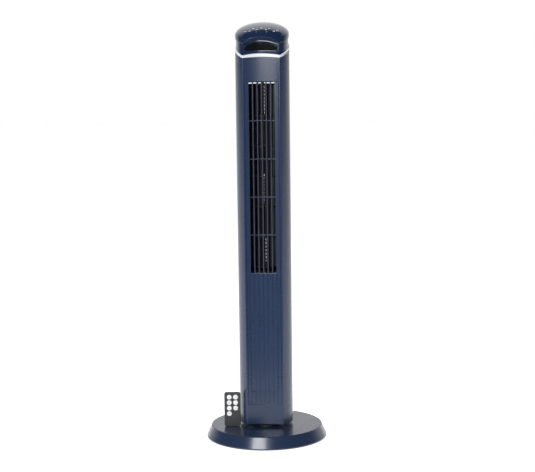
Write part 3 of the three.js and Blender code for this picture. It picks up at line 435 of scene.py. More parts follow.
# ---- Swivel neck ----
# A black turned neck stands on the base and carries the column. It has a wide foot that
# is screwed down, a soft shoulder and a groove where the column's floor turns on it.
hub_low, hub_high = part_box("swivel_hub")
column_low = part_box("front_shell")[0]
flange_radius, neck_radius, spigot_radius = hub_high.x, 25 * mm, 19.7 * mm
neck_top = column_low.z + 6 * mm
hub_profile = (
    [(hub_hole, hub_low.z), (flange_radius, hub_low.z)]
    + arc((flange_radius - 0.8 * mm, hub_low.z + 1.9 * mm), 0.8 * mm, 0, 80, 4)
    + arc((neck_radius + 3.0 * mm, hub_low.z + 5.9 * mm), 3.0 * mm, 260, 180, 6)
    + [(neck_radius, neck_top), (spigot_radius, neck_top), (spigot_radius, hub_high.z)]
    + [(hub_hole, hub_high.z)]
)
neck = lathe("swivel_neck", hub_profile, black_moulded, segments=72)
place_piece(neck, "base", "black_plastic", "swivel_hub")


# ---- Column shells ----
# Two tall mouldings make the round column: the front one carries two sharp creases with a
# dished panel between them, the rear one closes the back. They meet in a seam at the sides.
column_radius = 65 * mm
crease_x, crease_y = 44.5 * mm, -47.38 * mm
dish_depth = 5 * mm
dish_radius = (crease_x ** 2 + dish_depth ** 2) / (2 * dish_depth)
dish_centre = crease_y + dish_depth - dish_radius
seam_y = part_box("rear_shell")[0].y


def panel_y(x, inset=0.0):
    """The dished panel's surface, or one that lies an inset behind it."""
    return dish_centre + math.sqrt((dish_radius + inset) ** 2 - x * x)


def crease_at(inset):
    """The right crease, where the round wall and the panel meet at an inset."""
    r = column_radius - inset
    y = (dish_centre ** 2 + r ** 2 - (dish_radius + inset) ** 2) / (2 * dish_centre)
    return math.sqrt(r * r - y * y), y


def round_wall(inset, start, end, steps):
    """Points of the round wall between two bearings, in radians."""
    r = column_radius - inset
    bearings = [start + (end - start) * i / steps for i in range(steps + 1)]
    return [(r * math.cos(b), r * math.sin(b)) for b in bearings]


def panel_line(inset, x0, x1, steps):
    """Points of the dished panel from one side to the other."""
    across = [x0 + (x1 - x0) * i / steps for i in range(steps + 1)]
    return [(x, panel_y(x, inset)) for x in across]


def rounded_crease(inset, soft, steps=4):
    """The right crease with a small round edge, from the round wall to the panel."""
    x, y = crease_at(inset)
    bearing = math.atan2(y, x)
    r = column_radius - inset
    first = (r * math.cos(bearing + soft / r), r * math.sin(bearing + soft / r))
    last = (x - soft, panel_y(x - soft, inset))
    turn = []
    for i in range(steps + 1):
        t = i / steps
        turn.append(tuple((1 - t) ** 2 * a + 2 * t * (1 - t) * b + t * t * c
                          for a, b, c in zip(first, (x, y), last)))
    return turn


def pierced_wall(name, outer, inner, finish, is_open=lambda i, k: False, closed=False, **kwargs):
    """A wall between two grids of points, rows of points from low to high, less its open cells."""
    rows, count = len(outer), len(outer[0])
    columns = count if closed else count - 1
    points = [p for row in outer for p in row] + [p for row in inner for p in row]
    back = rows * count

    def there(i, k):
        return (closed or 0 <= i < columns) and 0 <= k < rows - 1 and not is_open(i % count, k)

    faces = []
    for k in range(rows - 1):
        for i in range(columns):
            if not there(i, k):
                continue
            j = (i + 1) % count
            a, b, c, d = k * count + i, k * count + j, (k + 1) * count + j, (k + 1) * count + i
            faces += [(a, b, c, d), (back + d, back + c, back + b, back + a)]
            sides = (
                ((a, b), (i, k - 1)), ((b, c), (i + 1, k)),
                ((c, d), (i, k + 1)), ((d, a), (i - 1, k)),
            )
            faces += [(q, p, back + p, back + q) for (p, q), cell in sides if not there(*cell)]
    return build(name, points, faces, finish, **kwargs)


def upright(outer, inner, heights):
    """Two grids over two plan lines: each height is a number or a function of x and y."""
    def at(line, height):
        return [(x, y, height(x, y) if callable(height) else height) for x, y in line]

    return [at(outer, h) for h in heights], [at(inner, h) for h in heights]


def cut_away(piece, cutter):
    """Cuts one piece's shape out of another and removes the cutter."""
    cut = piece.modifiers.new("cut", "BOOLEAN")
    cut.operation, cut.solver, cut.object = "DIFFERENCE", "EXACT", cutter
    settle(piece)
    bpy.data.objects.remove(cutter)
    finish_shading(piece)


def column_side(inset, seam, steps=40):
    """The right half of the front shell's line: from the seam round to the rounded crease."""
    r = column_radius - inset
    corner = rounded_crease(inset, 1.1 * mm, 6)
    end = math.atan2(corner[0][1], corner[0][0])
    return round_wall(inset, math.asin(seam / r), end, steps)[:-1] + corner


def front_line(inset, seam, stops, steps=14):
    """The whole front line, right to left, with points at the given places on the panel."""
    right = column_side(inset, seam)
    left = [(-x, y) for x, y in reversed(right)]
    marks = [right[-1][0], *stops, *[-x for x in reversed(stops)], left[0][0]]
    line = []
    for x0, x1 in zip(marks, marks[1:]):
        line += panel_line(inset, x0, x1, steps if x0 * x1 < 0 else 2)[1:]
    return right + line[:-1] + left


wall = 2.4 * mm
clearance = 0.3 * mm
insert_low, insert_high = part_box("front_grille")
insert_half = insert_high.x + clearance
insert_bottom, insert_top = insert_low.z - clearance, insert_high.z + clearance
ring_slope, ring_rise, ring_arch = 0.46, 5.6 * mm, 2.4 * mm
ring_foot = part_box("trim_ring")[1].z - ring_rise - ring_slope * column_radius


def ring_under(x, y):
    return ring_foot + ring_slope * y


def below_ring(x, y):
    return ring_under(x, y) - clearance


seam_front = seam_y - clearance
front_outer = front_line(0, seam_front, [insert_half])
front_inner = front_line(wall, seam_front, [insert_half])
levels = [column_low.z, insert_bottom, insert_top, below_ring]
in_window = {i for i in range(len(front_outer) - 1)
             if max(abs(front_outer[i][0]), abs(front_outer[i + 1][0])) < insert_half + 0.01 * mm
             and front_outer[i][1] < 0}
front_shell = pierced_wall(
    "front_shell_moulding", *upright(front_outer, front_inner, levels), satin_navy,
    is_open=lambda i, k: k == 1 and i in in_window, bevel=0.35 * mm, bevel_steps=2,
)
place_piece(front_shell, "tower", "navy_plastic", "front_shell")

intake_half = 47 * mm
intake_low, intake_high = (corner.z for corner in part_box("rear_grille"))
intake_bearing = math.acos(intake_half / column_radius)
seam_bearing = math.asin(seam_y / column_radius)
side_steps, back_steps = 20, 44


def rear_line(inset):
    right = round_wall(inset, seam_bearing, intake_bearing, side_steps)
    back = round_wall(inset, intake_bearing, math.pi - intake_bearing, back_steps)
    left = round_wall(inset, math.pi - intake_bearing, math.pi - seam_bearing, side_steps)
    return right + back[1:-1] + left


rear_levels = [column_low.z, intake_low - clearance, intake_high + clearance, below_ring]
rear_shell = pierced_wall(
    "rear_shell_moulding", *upright(rear_line(0), rear_line(wall), rear_levels), satin_navy,
    is_open=lambda i, k: k == 1 and side_steps <= i < side_steps + back_steps,
    bevel=0.35 * mm, bevel_steps=2,
)
gland_low, gland_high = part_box("cord_gland")
gland_height = (gland_low.z + gland_high.z) / 2
hole_radius, hole_reach = 7 * mm, 10 * mm
hole_profile = [
    (0.0001, -hole_reach), (hole_radius, -hole_reach), (hole_radius, hole_reach), (0.0001, hole_reach),
]
hole = lathe("cord_hole", hole_profile, satin_navy, segments=48)
lying_forward = Matrix.Rotation(math.pi / 2, 4, "X")
hole.data.transform(Matrix.Translation((0, column_radius, gland_height)) @ lying_forward)
cut_away(rear_shell, hole)
place_piece(rear_shell, "tower", "navy_plastic", "rear_shell")


# ---- Cord gland ----
# A soft black grommet is pressed into the rear shell low down, where the mains lead leaves.
gland_profile = (
    [(4.5 * mm, -3 * mm), (6.7 * mm, -3 * mm), (6.7 * mm, 3.0 * mm), (9.0 * mm, 3.0 * mm)]
    + arc((8.2 * mm, 4.0 * mm), 0.8 * mm, 0, 90, 5)
    + arc((5.3 * mm, 4.6 * mm), 0.8 * mm, 90, 180, 5)
)
gland = lathe("cord_grommet", gland_profile, pad_rubber, segments=48)
lying_back = Matrix.Rotation(-math.pi / 2, 4, "X")
gland.data.transform(Matrix.Translation((0, column_radius - wall, gland_height)) @ lying_back)
place_piece(gland, "tower", "rubber", "cord_gland")


# ---- Front insert ----
# One tall moulding fills the window in the front shell. Soft ribs run up its lower part, and
# above them it opens into six columns of slots between five slats and four cross bars. Slats
# and bars are coloured a paler navy than the rest, a painted highlight for their slim edges.
insert_sink, insert_thickness = 0.3 * mm, 3 * mm
slot_half, slot_bottom, slot_top = 30.7 * mm, 414.5 * mm, insert_high.z - 1.1 * mm
slat_pitch, slat_width, slat_depth = 10.75 * mm, 3.1 * mm, 5 * mm
cover_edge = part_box("storage_cover")
cover_half = cover_edge[1].x + clearance
cover_bottom, cover_top = cover_edge[0].z - clearance, cover_edge[1].z + clearance
groove_depth, groove_flat, groove_reach = 1.2 * mm, 0.35 * mm, 1.5 * mm
edge_round = 0.6 * mm


def rib_depth(x):
    """How far the ribbed face lies below the crown of its ribs."""
    from_groove = abs((x / slat_pitch + 0.5) % 1 - 0.5) * slat_pitch
    if abs(x) > 3.2 * slat_pitch:
        from_groove = min(slat_pitch / 2, abs(abs(x) - 3 * slat_pitch))
    shoulder = 0.3 * mm
    if from_groove > groove_reach:
        return shoulder * ((slat_pitch / 2 - from_groove) / (slat_pitch / 2 - groove_reach)) ** 2
    t = max(0, from_groove - groove_flat) / (groove_reach - groove_flat)
    return shoulder + (groove_depth - shoulder) * (1 - t * t * (3 - 2 * t))


def rib_places(half, extra=()):
    """Places across the ribs: close together in the grooves, wider on the crowns."""
    offsets = (0, 0.35, 0.65, 0.95, 1.25, 1.5, 2.2, 3.2, 4.3, 5.375)
    found = {
        round(s * o * mm + m * slat_pitch, 7) for m in range(-3, 4) for o in offsets for s in (-1, 1)
    }
    found |= {round(s * x, 7) for x in (*extra, half) for s in (-1, 1)}
    kept = sorted(x for x in found if abs(x) < half + 1e-7)
    return [x for x, after in zip(kept, kept[1:] + [1.0]) if after - x > 0.04 * mm]


def ribbed_grids(places, heights, ribs_low, ribs_high, edge_drop, thickness):
    """The front and back grids of a ribbed plate on the dished panel."""
    def inset(x, z):
        fade = min(1, max(0, (z - ribs_low) / (1.4 * mm)), max(0, (ribs_high - z) / (1.4 * mm)))
        return insert_sink + rib_depth(x) * fade + edge_drop(x, z)

    front = [[(x, panel_y(x, inset(x, z)), z) for x in places] for z in heights]
    back = [[(x, panel_y(x, insert_sink + thickness), z) for x in places] for z in heights]
    return front, back


def near(a, b):
    return abs(a - b) < 1e-6


def insert_edges(x, z):
    in_rows, in_columns = slot_bottom - 1e-6 < z < slot_top + 1e-6, abs(x) < slot_half + 1e-6
    if in_rows and in_columns and (near(abs(x), slot_half) or near(z, slot_bottom) or near(z, slot_top)):
        return 1.5 * edge_round
    beside, level = near(abs(x), cover_half), near(z, cover_bottom) or near(z, cover_top)
    inside = cover_bottom - 1e-6 < z < cover_top + 1e-6 and abs(x) < cover_half + 1e-6
    outline = near(abs(x), insert_high.x) or near(z, insert_high.z)
    return edge_round if outline or (inside and (beside or level)) else 0


places = rib_places(
    insert_high.x,
    (insert_high.x - edge_round, slot_half, slot_half + edge_round, cover_half, cover_half + edge_round),
)
heights = [
    insert_low.z, insert_low.z + edge_round, insert_low.z + 1.5 * mm, insert_low.z + 2.9 * mm,
    cover_bottom - edge_round, cover_bottom, cover_top, cover_top + edge_round,
    slot_bottom - 3.4 * mm, slot_bottom - 2.0 * mm, slot_bottom - 1.0 * mm, slot_bottom,
    slot_top, slot_top + 0.5 * edge_round, insert_high.z,
]


def insert_open(i, k):
    x, z = (places[i] + places[i + 1]) / 2, (heights[k] + heights[k + 1]) / 2
    in_slots = abs(x) < slot_half and slot_bottom < z < slot_top
    return in_slots or (abs(x) < cover_half and cover_bottom < z < cover_top)


ribs_from, ribs_to = insert_low.z + 1.5 * mm, slot_bottom - 2.0 * mm
insert = pierced_wall(
    "front_insert",
    *ribbed_grids(places, heights, ribs_from, ribs_to, insert_edges, insert_thickness),
    satin_navy, is_open=insert_open, limit=50,
)
place_piece(insert, "tower", "navy_plastic", "front_grille")

# Slats and bars get a paler navy than satin_navy: a painted highlight standing in for the light their
# rounded noses catch.
slat_navy_painted_highlight = moulded("slat_navy_painted_highlight", (0.048, 0.058, 0.098), 0.30)
nose = slat_width / 2
slat_line = [(nose, slat_depth), *arc((0, nose), nose, 0, -180, 9), (-nose, slat_depth)]
slat_points, slat_faces = [], []
for z in (slot_bottom - 1.5 * mm, slot_top + 0.8 * mm):
    slat_points += [(x - 2 * slat_pitch, y + panel_y(0, insert_sink + 0.2 * mm), z) for x, y in slat_line]
around = len(slat_line)
slat_faces += [(i, (i + 1) % around, around + (i + 1) % around, around + i) for i in range(around)]
slat_faces += [tuple(range(around - 1, -1, -1)), tuple(range(around, 2 * around))]
slats = build("grille_slats", slat_points, slat_faces, slat_navy_painted_highlight)
repeat(slats, 5, step=(slat_pitch, 0, 0), bend=1 / dish_radius)
place_piece(slats, "tower", "navy_plastic")

row_pitch = (slot_top - slot_bottom) / 5
bar_front, bar_back = insert_sink + 2.5 * mm, insert_sink + 4.9 * mm
bar_line = panel_line(bar_front, -slot_half - 1 * mm, slot_half + 1 * mm, 40)
bar_back_line = panel_line(bar_back, -slot_half - 1 * mm, slot_half + 1 * mm, 40)
bar_middle = slot_bottom + row_pitch
bars = pierced_wall(
    "grille_bars", *upright(bar_line, bar_back_line, [bar_middle - 1.0 * mm, bar_middle + 1.0 * mm]),
    slat_navy_painted_highlight, bevel=0.85 * mm, bevel_steps=4,
)
repeat(bars, 4, step=(0, 0, row_pitch))
place_piece(bars, "tower", "navy_plastic")


# ---- Storage cover ----
# A ribbed cover snaps into the insert and hides a shallow tray. Its ribs run through those
# of the insert, so only its thin outline shows.
cover_places = rib_places(cover_edge[1].x, (cover_edge[1].x - 0.5 * mm,))
cover_heights = [cover_edge[0].z, cover_edge[0].z + 0.5 * mm, cover_edge[1].z - 0.5 * mm, cover_edge[1].z]


def cover_edges(x, z):
    rim = near(abs(x), cover_edge[1].x) or near(z, cover_edge[0].z) or near(z, cover_edge[1].z)
    return 0.5 * mm if rim else 0


storage_cover = pierced_wall(
    "snap_in_cover",
    *ribbed_grids(cover_places, cover_heights, 0, 1, cover_edges, insert_thickness), satin_navy, limit=50,
)
place_piece(storage_cover, "cover", "navy_plastic", "storage_cover")


# ---- Rear intake grille ----
# The back is a moulded grille: a plain frame with fifty fine louvres across it, stiffened by
# two upright ribs on the inside.
grille_low, grille_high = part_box("rear_grille")
grille_half, grille_frame = 46.4 * mm, 7 * mm
louvre_count, louvre_height = 50, 3.8 * mm
grille_bearing = math.acos(grille_half / column_radius)
louvre_bearing = math.acos((grille_half - grille_frame) / column_radius)


def grille_line(inset):
    side = round_wall(inset, grille_bearing, louvre_bearing, 4)
    back = round_wall(inset, louvre_bearing, math.pi - louvre_bearing, 40)
    return side + back[1:-1] + [(-x, y) for x, y in reversed(side)]


louvre_low, louvre_high = grille_low.z + grille_frame, grille_high.z - grille_frame
grille_frame_piece = pierced_wall(
    "rear_grille_frame",
    *upright(grille_line(0), grille_line(wall), [grille_low.z, louvre_low, louvre_high, grille_high.z]),
    satin_navy, is_open=lambda i, k: k == 1 and 4 <= i < 44, bevel=0.4 * mm, bevel_steps=2,
)
place_piece(grille_frame_piece, "tower", "navy_plastic", "rear_grille")

louvre_pitch = (louvre_high - louvre_low) / louvre_count
reach = math.asin(1.0 * mm / column_radius)
louvre_ends = (louvre_bearing - reach, math.pi - louvre_bearing + reach, 40)
first = louvre_low + louvre_pitch / 2
louvres = pierced_wall(
    "rear_louvres",
    *upright(round_wall(0.5 * mm, *louvre_ends), round_wall(2.2 * mm, *louvre_ends),
             [first - louvre_height / 2, first + louvre_height / 2]),
    satin_navy, bevel=0.5 * mm, bevel_steps=2,
)
repeat(louvres, louvre_count, step=(0, 0, louvre_pitch))
place_piece(louvres, "tower", "navy_plastic")

rib_x, rib_half, rib_back = grille_half / 3, 1 * mm, 1.5 * mm
rib_y = math.sqrt((column_radius - wall) ** 2 - rib_x ** 2)
rib_box = [(x, y, z) for z in (louvre_low - 1 * mm, louvre_high + 1 * mm)
           for x, y in ((rib_x - rib_half, rib_y - rib_back), (rib_x + rib_half, rib_y - rib_back),
                        (rib_x + rib_half, rib_y + 1 * mm), (rib_x - rib_half, rib_y + 1 * mm))]
box_faces = [(0, 3, 2, 1), (4, 5, 6, 7), (0, 1, 5, 4), (1, 2, 6, 5), (2, 3, 7, 6), (3, 0, 4, 7)]
grille_ribs = build("rear_grille_ribs", rib_box, box_faces, satin_navy, bevel=0.3 * mm)
repeat(grille_ribs, 2, step=(-2 * rib_x, 0, 0))
place_piece(grille_ribs, "tower", "navy_plastic")


# ---- Fan wheel ----
# A tall cross-flow wheel: seven thin discs on one axis with forward-curved blades between
# them, each storey of blades turned on a little from the one below. It is one black moulding
# with a coupling on the motor's shaft below.
wheel_low, wheel_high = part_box("fan_wheel")
wheel_radius = (wheel_high.x - wheel_low.x) / 2
wheel_y = (wheel_low.y + wheel_high.y) / 2
wheel_bottom = wheel_low.z + 10 * mm
disc_thickness, disc_count, blade_count = 1.6 * mm, 7, 36
wheel_top = slot_top - 5.5 * mm
disc_pitch = (wheel_top - disc_thickness - wheel_bottom) / (disc_count - 1)
wheel_black = moulded("wheel_black", (0.005, 0.006, 0.008), 0.55, grain=0.3)

discs = lathe(
    "wheel_discs",
    [(28 * mm, wheel_bottom), (wheel_radius, wheel_bottom),
     (wheel_radius, wheel_bottom + disc_thickness), (28 * mm, wheel_bottom + disc_thickness)],
    wheel_black, segments=72, centre=(0, wheel_y), bevel=0.3 * mm, bevel_steps=2,
)
repeat(discs, disc_count, step=(0, 0, disc_pitch))
place_piece(discs, "impeller", "black_plastic", "fan_wheel")

blade_root, blade_tip = 30.5 * mm, wheel_radius - 0.8 * mm
blade_line = []
for thickness in (0, 1.0 * mm):
    side = []
    for i in range(9):
        t = i / 8
        r = blade_root + t * (blade_tip - blade_root)
        lean = 0.16 * t * t - 0.05 * t
        side.append((r * math.cos(lean), r * math.sin(lean) + thickness))
    blade_line.append(side)
blade_ends = [wheel_bottom + disc_thickness / 2, wheel_bottom + disc_pitch + disc_thickness / 2]
blades = pierced_wall("wheel_blades", *upright(blade_line[0], blade_line[1], blade_ends), wheel_black)
repeat(blades, blade_count, turn=math.tau / blade_count)
storey_turn = 0.036
repeat(blades, disc_count - 1, step=(0, 0, disc_pitch), turn=storey_turn)
blades.data.transform(Matrix.Translation((0, wheel_y, 0)))
place_piece(blades, "impeller", "black_plastic")

last_disc = wheel_bottom + (disc_count - 1) * disc_pitch
end_radius, shaft_bore = 28.5 * mm, 4.3 * mm
first_top, last_top = wheel_bottom + disc_thickness, last_disc + disc_thickness
hub_profiles = {
    "wheel_lower_end": [
        (shaft_bore, wheel_low.z), (9 * mm, wheel_low.z), (9 * mm, wheel_bottom - 2 * mm),
        (11 * mm, wheel_bottom), (end_radius, wheel_bottom), (end_radius, first_top),
        (0.0001, first_top), (0.0001, wheel_bottom - 1 * mm), (shaft_bore, wheel_bottom - 1 * mm),
    ],
    "wheel_upper_end": [
        (0.0001, last_disc), (end_radius, last_disc), (end_radius, last_top),
        (6 * mm, last_top), (3 * mm, last_disc + 3.5 * mm),
        (3 * mm, wheel_high.z - 0.5 * mm), (2.5 * mm, wheel_high.z), (0.0001, wheel_high.z),
    ],
}
for name, profile in hub_profiles.items():
    wheel_end = lathe(name, profile, wheel_black, segments=48, centre=(0, wheel_y))
    place_piece(wheel_end, "impeller", "black_plastic")


# ---- Trim ring ----
# A bright silver-white band runs round the top of the column and climbs towards the rear.
# It is one glossy moulding, a little higher at the middle of the panel.
def whole_line(inset, soft=1.1 * mm, back_steps=56, panel_steps=24):
    """The column's whole line at an inset, from the rear round by the right crease and back."""
    corner = rounded_crease(inset, soft, 6)
    end = math.atan2(corner[0][1], corner[0][0])
    right = round_wall(inset, math.pi / 2, end, back_steps)[:-1] + corner
    panel = panel_line(inset, right[-1][0], -right[-1][0], panel_steps)[1:-1]
    return right + panel + [(-x, y) for x, y in reversed(right[1:])]


def ring_over(x, y):
    on_panel = max(0, 1 - (x / crease_x) ** 2) if y < 0 else 0
    return ring_under(x, y) + ring_rise + ring_arch * on_panel


silver_white = moulded("silver_white", (0.83, 0.86, 0.90), 0.22, grain=0.05, coat=0.5, uneven=0.02)
ring_width = 4 * mm
trim = pierced_wall(
    "trim_band", *upright(whole_line(0), whole_line(ring_width), [ring_under, ring_over]),
    silver_white, closed=True, bevel=0.9 * mm, bevel_steps=4,
)
place_piece(trim, "tower", "silver_trim", "trim_ring")


# ---- Head housing ----
# The head's wall is glossy navy plastic, set 2 mm inside the column's line. It is cut off
# square on the ring below and follows the sloping cap above.
gloss_navy = moulded("gloss_navy", (0.009, 0.022, 0.062), 0.12, grain=0.04, coat=0.55, uneven=0.03)
head_inset = 2 * mm
cap_slope = 0.3
cap_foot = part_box("head_housing")[1].z + clearance - cap_slope * (column_radius - head_inset)


def cap_under(x, y):
    return cap_foot + cap_slope * y


def above_ring(x, y):
    return ring_over(x, y) + clearance


def below_cap(x, y):
    return cap_under(x, y) - clearance


def head_line(inset, steps=90):
    x, y = crease_at(inset)
    bearing = math.atan2(y, x)
    return round_wall(inset, bearing, math.pi - bearing, steps)


head_wall = pierced_wall(
    "head_wall", *upright(head_line(head_inset), head_line(head_inset + wall), [above_ring, below_cap]),
    gloss_navy, bevel=0.3 * mm, bevel_steps=2,
)
place_piece(head_wall, "tower", "navy_gloss", "head_housing")


# ---- Display bezel and window ----
# Under the hood of the cap the head is closed by a concave glossy bezel. Its arched window
# is a smoked lens, with the display out of sight behind it.
arch_top = ring_foot + ring_slope * crease_y + 41.6 * mm
arch_fall, hood_slope = 0.007 / mm, 0.58
window_half, window_sill = 37.7 * mm, ring_foot + ring_slope * crease_y + 17.6 * mm
window_edge, window_corner = 3.5 * mm, 3.5 * mm


def arch(x, y):
    """The hood's underside: arched from side to side, and climbing towards the front."""
    return arch_top - arch_fall * x * x - hood_slope * (y - panel_y(0, head_inset))


def corner_drop(x, margin):
    past = abs(x) - (window_half - margin - window_corner)
    if past <= 0:
        return 0
    return window_corner - math.sqrt(max(0, window_corner ** 2 - min(past, window_corner) ** 2))


def sill_line(margin):
    return lambda x, y: window_sill + margin + corner_drop(x, margin)


def lintel_line(margin):
    return lambda x, y: arch_top - window_edge - arch_fall * x * x - margin - corner_drop(x, margin)


def under_hood(x, y):
    return max(arch(x, y), cap_under(x, y)) - clearance


def bezel_stops(half, margin):
    inner = window_half - margin
    corner = [inner - window_corner * (1 - math.sin(math.radians(a))) for a in range(0, 91, 15)]
    centre = [inner * 0.9 * t / 12 for t in range(-12, 13)]
    outer = [inner + (half - inner) * t / 3 for t in (1, 2, 3)] if half > inner else []
    right = sorted({round(x, 7) for x in corner + outer})
    return [-x for x in reversed(right)] + [x for x in centre if abs(x) < corner[0] - 0.5 * mm] + right


bezel_x = crease_at(head_inset)[0] - 0.45 * mm
stops = bezel_stops(bezel_x, 0)
bezel_front = [(x, panel_y(x, head_inset)) for x in stops]
bezel_back = [(x, panel_y(x, head_inset + wall)) for x in stops]
bezel = pierced_wall(
    "display_surround",
    *upright(bezel_front, bezel_back, [above_ring, sill_line(0), lintel_line(0), under_hood]), gloss_navy,
    is_open=lambda i, k: k == 1 and abs(stops[i] + stops[i + 1]) / 2 < window_half,
    bevel=0.4 * mm, bevel_steps=2,
)
place_piece(bezel, "tower", "navy_gloss", "display_bezel")

smoked = moulded("smoked_lens", (0.002, 0.003, 0.004), 0.06, grain=0.0, coat=0.6, uneven=0.01)
lens_margin, lens_sink = 0.3 * mm, 0.8 * mm
lens_stops = bezel_stops(0, lens_margin)
lens_insets = (head_inset + lens_sink, head_inset + lens_sink + 1.6 * mm)
lens_lines = [[(x, panel_y(x, inset)) for x in lens_stops] for inset in lens_insets]
lens = pierced_wall(
    "smoked_window", *upright(*lens_lines, [sill_line(lens_margin), lintel_line(lens_margin)]), smoked,
    bevel=0.25 * mm, bevel_steps=2,
)
place_piece(lens, "tower", "smoked_plastic", "display_lens")


# ---- Cap ----
# The cap is a glossy dome that lies on a slope, highest at the rear. Its front edge is an
# arched hood over the display, and five keys stand in holes along its top.
cap_band, dome_rise = 7 * mm, 22.8 * mm
hollow_inset, hollow_front = 3.8 * mm, -35.3 * mm
hood_reach = crease_x + 1.5 * mm


def dome(x, y, inset=0.0):
    """The height of the dome's outer or inner surface."""
    rim = column_radius - inset
    share = max(0, 1 - (x * x + y * y) / rim ** 2)
    return cap_under(x, y) + cap_band + (dome_rise - inset) * math.sqrt(share)


def skin_path(bearing, steps=160):
    """The outer surface from the middle of the dome to its lower edge, or to the hood's edge."""
    path = []
    for i in range(steps + 1):
        tilt = math.pi / 2 * (1 - i / steps)
        radius = column_radius * math.cos(tilt)
        x, y = radius * math.cos(bearing), radius * math.sin(bearing)
        path.append(Vector((x, y, dome(x, y))))
    x, y = path[-1].xy
    path += [Vector((x, y, cap_under(x, y) + cap_band * (1 - i / 12))) for i in range(1, 13)]
    for i, point in enumerate(path):
        lift = point.z - arch(point.x, point.y)
        if abs(point.x) < hood_reach and point.y < 0 and lift < 0:
            before = path[i - 1]
            above = before.z - arch(before.x, before.y)
            return path[:i] + [before.lerp(point, above / (above - lift))]
    return path


def resampled(path, count):
    """Evenly spaced points along a path."""
    lengths = [0.0]
    for a, b in zip(path, path[1:]):
        lengths.append(lengths[-1] + (b - a).length)
    points, k = [], 0
    for i in range(count + 1):
        target = lengths[-1] * i / count
        while k < len(path) - 2 and lengths[k + 1] < target:
            k += 1
        span = lengths[k + 1] - lengths[k]
        points.append(path[k].lerp(path[k + 1], (target - lengths[k]) / span if span else 0))
    return points


def softened(before, corner, after, reach, steps=4):
    """A round edge in place of a corner, tangent to both of its sides."""
    first = corner + (before - corner).normalized() * reach
    last = corner + (after - corner).normalized() * reach
    blend = [i / steps for i in range(steps + 1)]
    return [first * (1 - t) ** 2 + corner * (2 * t * (1 - t)) + last * t * t for t in blend]


def hollow_edge(bearing):
    """Where the hollow inside the cap ends at a bearing."""
    radius = column_radius - hollow_inset
    if radius * math.sin(bearing) < hollow_front:
        radius = hollow_front / math.sin(bearing)
    return Vector((radius * math.cos(bearing), radius * math.sin(bearing), 0))


cap_rows, cap_bearings, edge_soft = 30, 288, 1.1 * mm
rings = []
for s in range(cap_bearings):
    bearing = math.tau * (s + 0.5) / cap_bearings
    skin = resampled(skin_path(bearing), cap_rows)
    corner, inner = skin[-1], hollow_edge(bearing)
    under = []
    for i in range(1, 7):
        x, y = (corner.lerp(inner, i / 6)).xy
        hood = arch(x, y) if abs(x) < hood_reach and y < hollow_front - 1 * mm else 0
        under.append(Vector((x, y, max(hood, cap_under(x, y)))))
    round_edge = softened(skin[-2], corner, under[0], edge_soft)
    ceiling = []
    for i in range(7):
        x, y = (inner * (1 - i / 7)).xy
        ceiling.append(Vector((x, y, dome(x, y, hollow_inset))))
    rings.append(skin[1:-1] + round_edge + under + ceiling)
along = len(rings[0])
cap_points = [p for ring in rings for p in ring]
cap_faces = []
for s in range(cap_bearings):
    a, b = s * along, (s + 1) % cap_bearings * along
    cap_faces += [(a + i, a + i + 1, b + i + 1, b + i) for i in range(along - 1)]
for end, height in ((0, dome(0, 0)), (along - 1, dome(0, 0, hollow_inset))):
    cap_points.append(Vector((0, 0, height)))
    cap_faces += [(s * along + end, (s + 1) % cap_bearings * along + end, len(cap_points) - 1)
                  for s in range(cap_bearings)]
cap = build("domed_cap", cap_points, cap_faces, gloss_navy, limit=40)

key_count, key_radius, key_gap = 5, 6 * mm, 0.3 * mm
key_tilt = math.atan(cap_slope)
key_up = Vector((0, -math.sin(key_tilt), math.cos(key_tilt)))
key_side = Vector((0, math.cos(key_tilt), math.sin(key_tilt)))
key_places = []
for i in range(key_count):
    low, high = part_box(f"key_{i + 1}")
    x = (low.x + high.x) / 2
    bend = abs(i - 2) / 2
    y = (-12 - 8 * bend ** 2) * mm
    key_places.append(Vector((x, y, cap_under(x, y))))


def on_dome(start):
    """Follows a key's axis from a point up to the dome."""
    point = start.copy()
    for _ in range(30):
        point += key_up * ((dome(point.x, point.y) - point.z) / key_up.z)
    return point


def key_grid(place, radius, depth, name, finish, edge=0.0, rings_out=8, around=48):
    """A round stub about a key's axis whose top is the dome itself, softened at its edge."""
    points, faces = [on_dome(place)], []
    for k in range(1, rings_out + 1):
        rho = radius * min(1, k / (rings_out - 1)) if edge else radius * k / rings_out
        sink = edge if edge and k == rings_out else 0
        if edge and k == rings_out - 1:
            rho -= edge
        for s in range(around):
            a = math.tau * s / around
            base = place + Vector((rho * math.cos(a), 0, 0)) + key_side * (rho * math.sin(a))
            points.append(on_dome(base) - key_up * sink)
    last = 1 + (rings_out - 1) * around
    points += [p - key_up * depth for p in points[last:last + around]]
    for s in range(around):
        t = (s + 1) % around
        faces.append((0, 1 + s, 1 + t))
        for k in range(rings_out):
            a = 1 + k * around
            faces.append((a + s, a + around + s, a + around + t, a + t))
    faces.append(tuple(range(last + around, last + 2 * around)))
    return build(name, points, faces, finish)


for place in key_places:
    hole = [place + Vector((x, 0, 0)) + key_side * y + key_up * h
            for h in (8 * mm, 60 * mm) for x, y in arc((0, 0), key_radius + key_gap, 0, 352.5, 47)]
    hole_faces = [(i, (i + 1) % 48, 48 + (i + 1) % 48, 48 + i) for i in range(48)]
    hole_faces += [tuple(range(47, -1, -1)), tuple(range(48, 96))]
    cut_away(cap, build("key_hole", hole, hole_faces, gloss_navy))
place_piece(cap, "tower", "navy_gloss", "top_cap")


# ---- Keys ----
# Five round keys stand flush with the dome, each on its own switch. Every key has a small
# white printed sign, and smaller printed marks lie between the keys and the hood.
print_white = moulded("print_white", (0.78, 0.80, 0.82), 0.5, grain=0.0)
stroke_half, print_lift, print_sink = 0.42 * mm, 0.06 * mm, 0.12 * mm


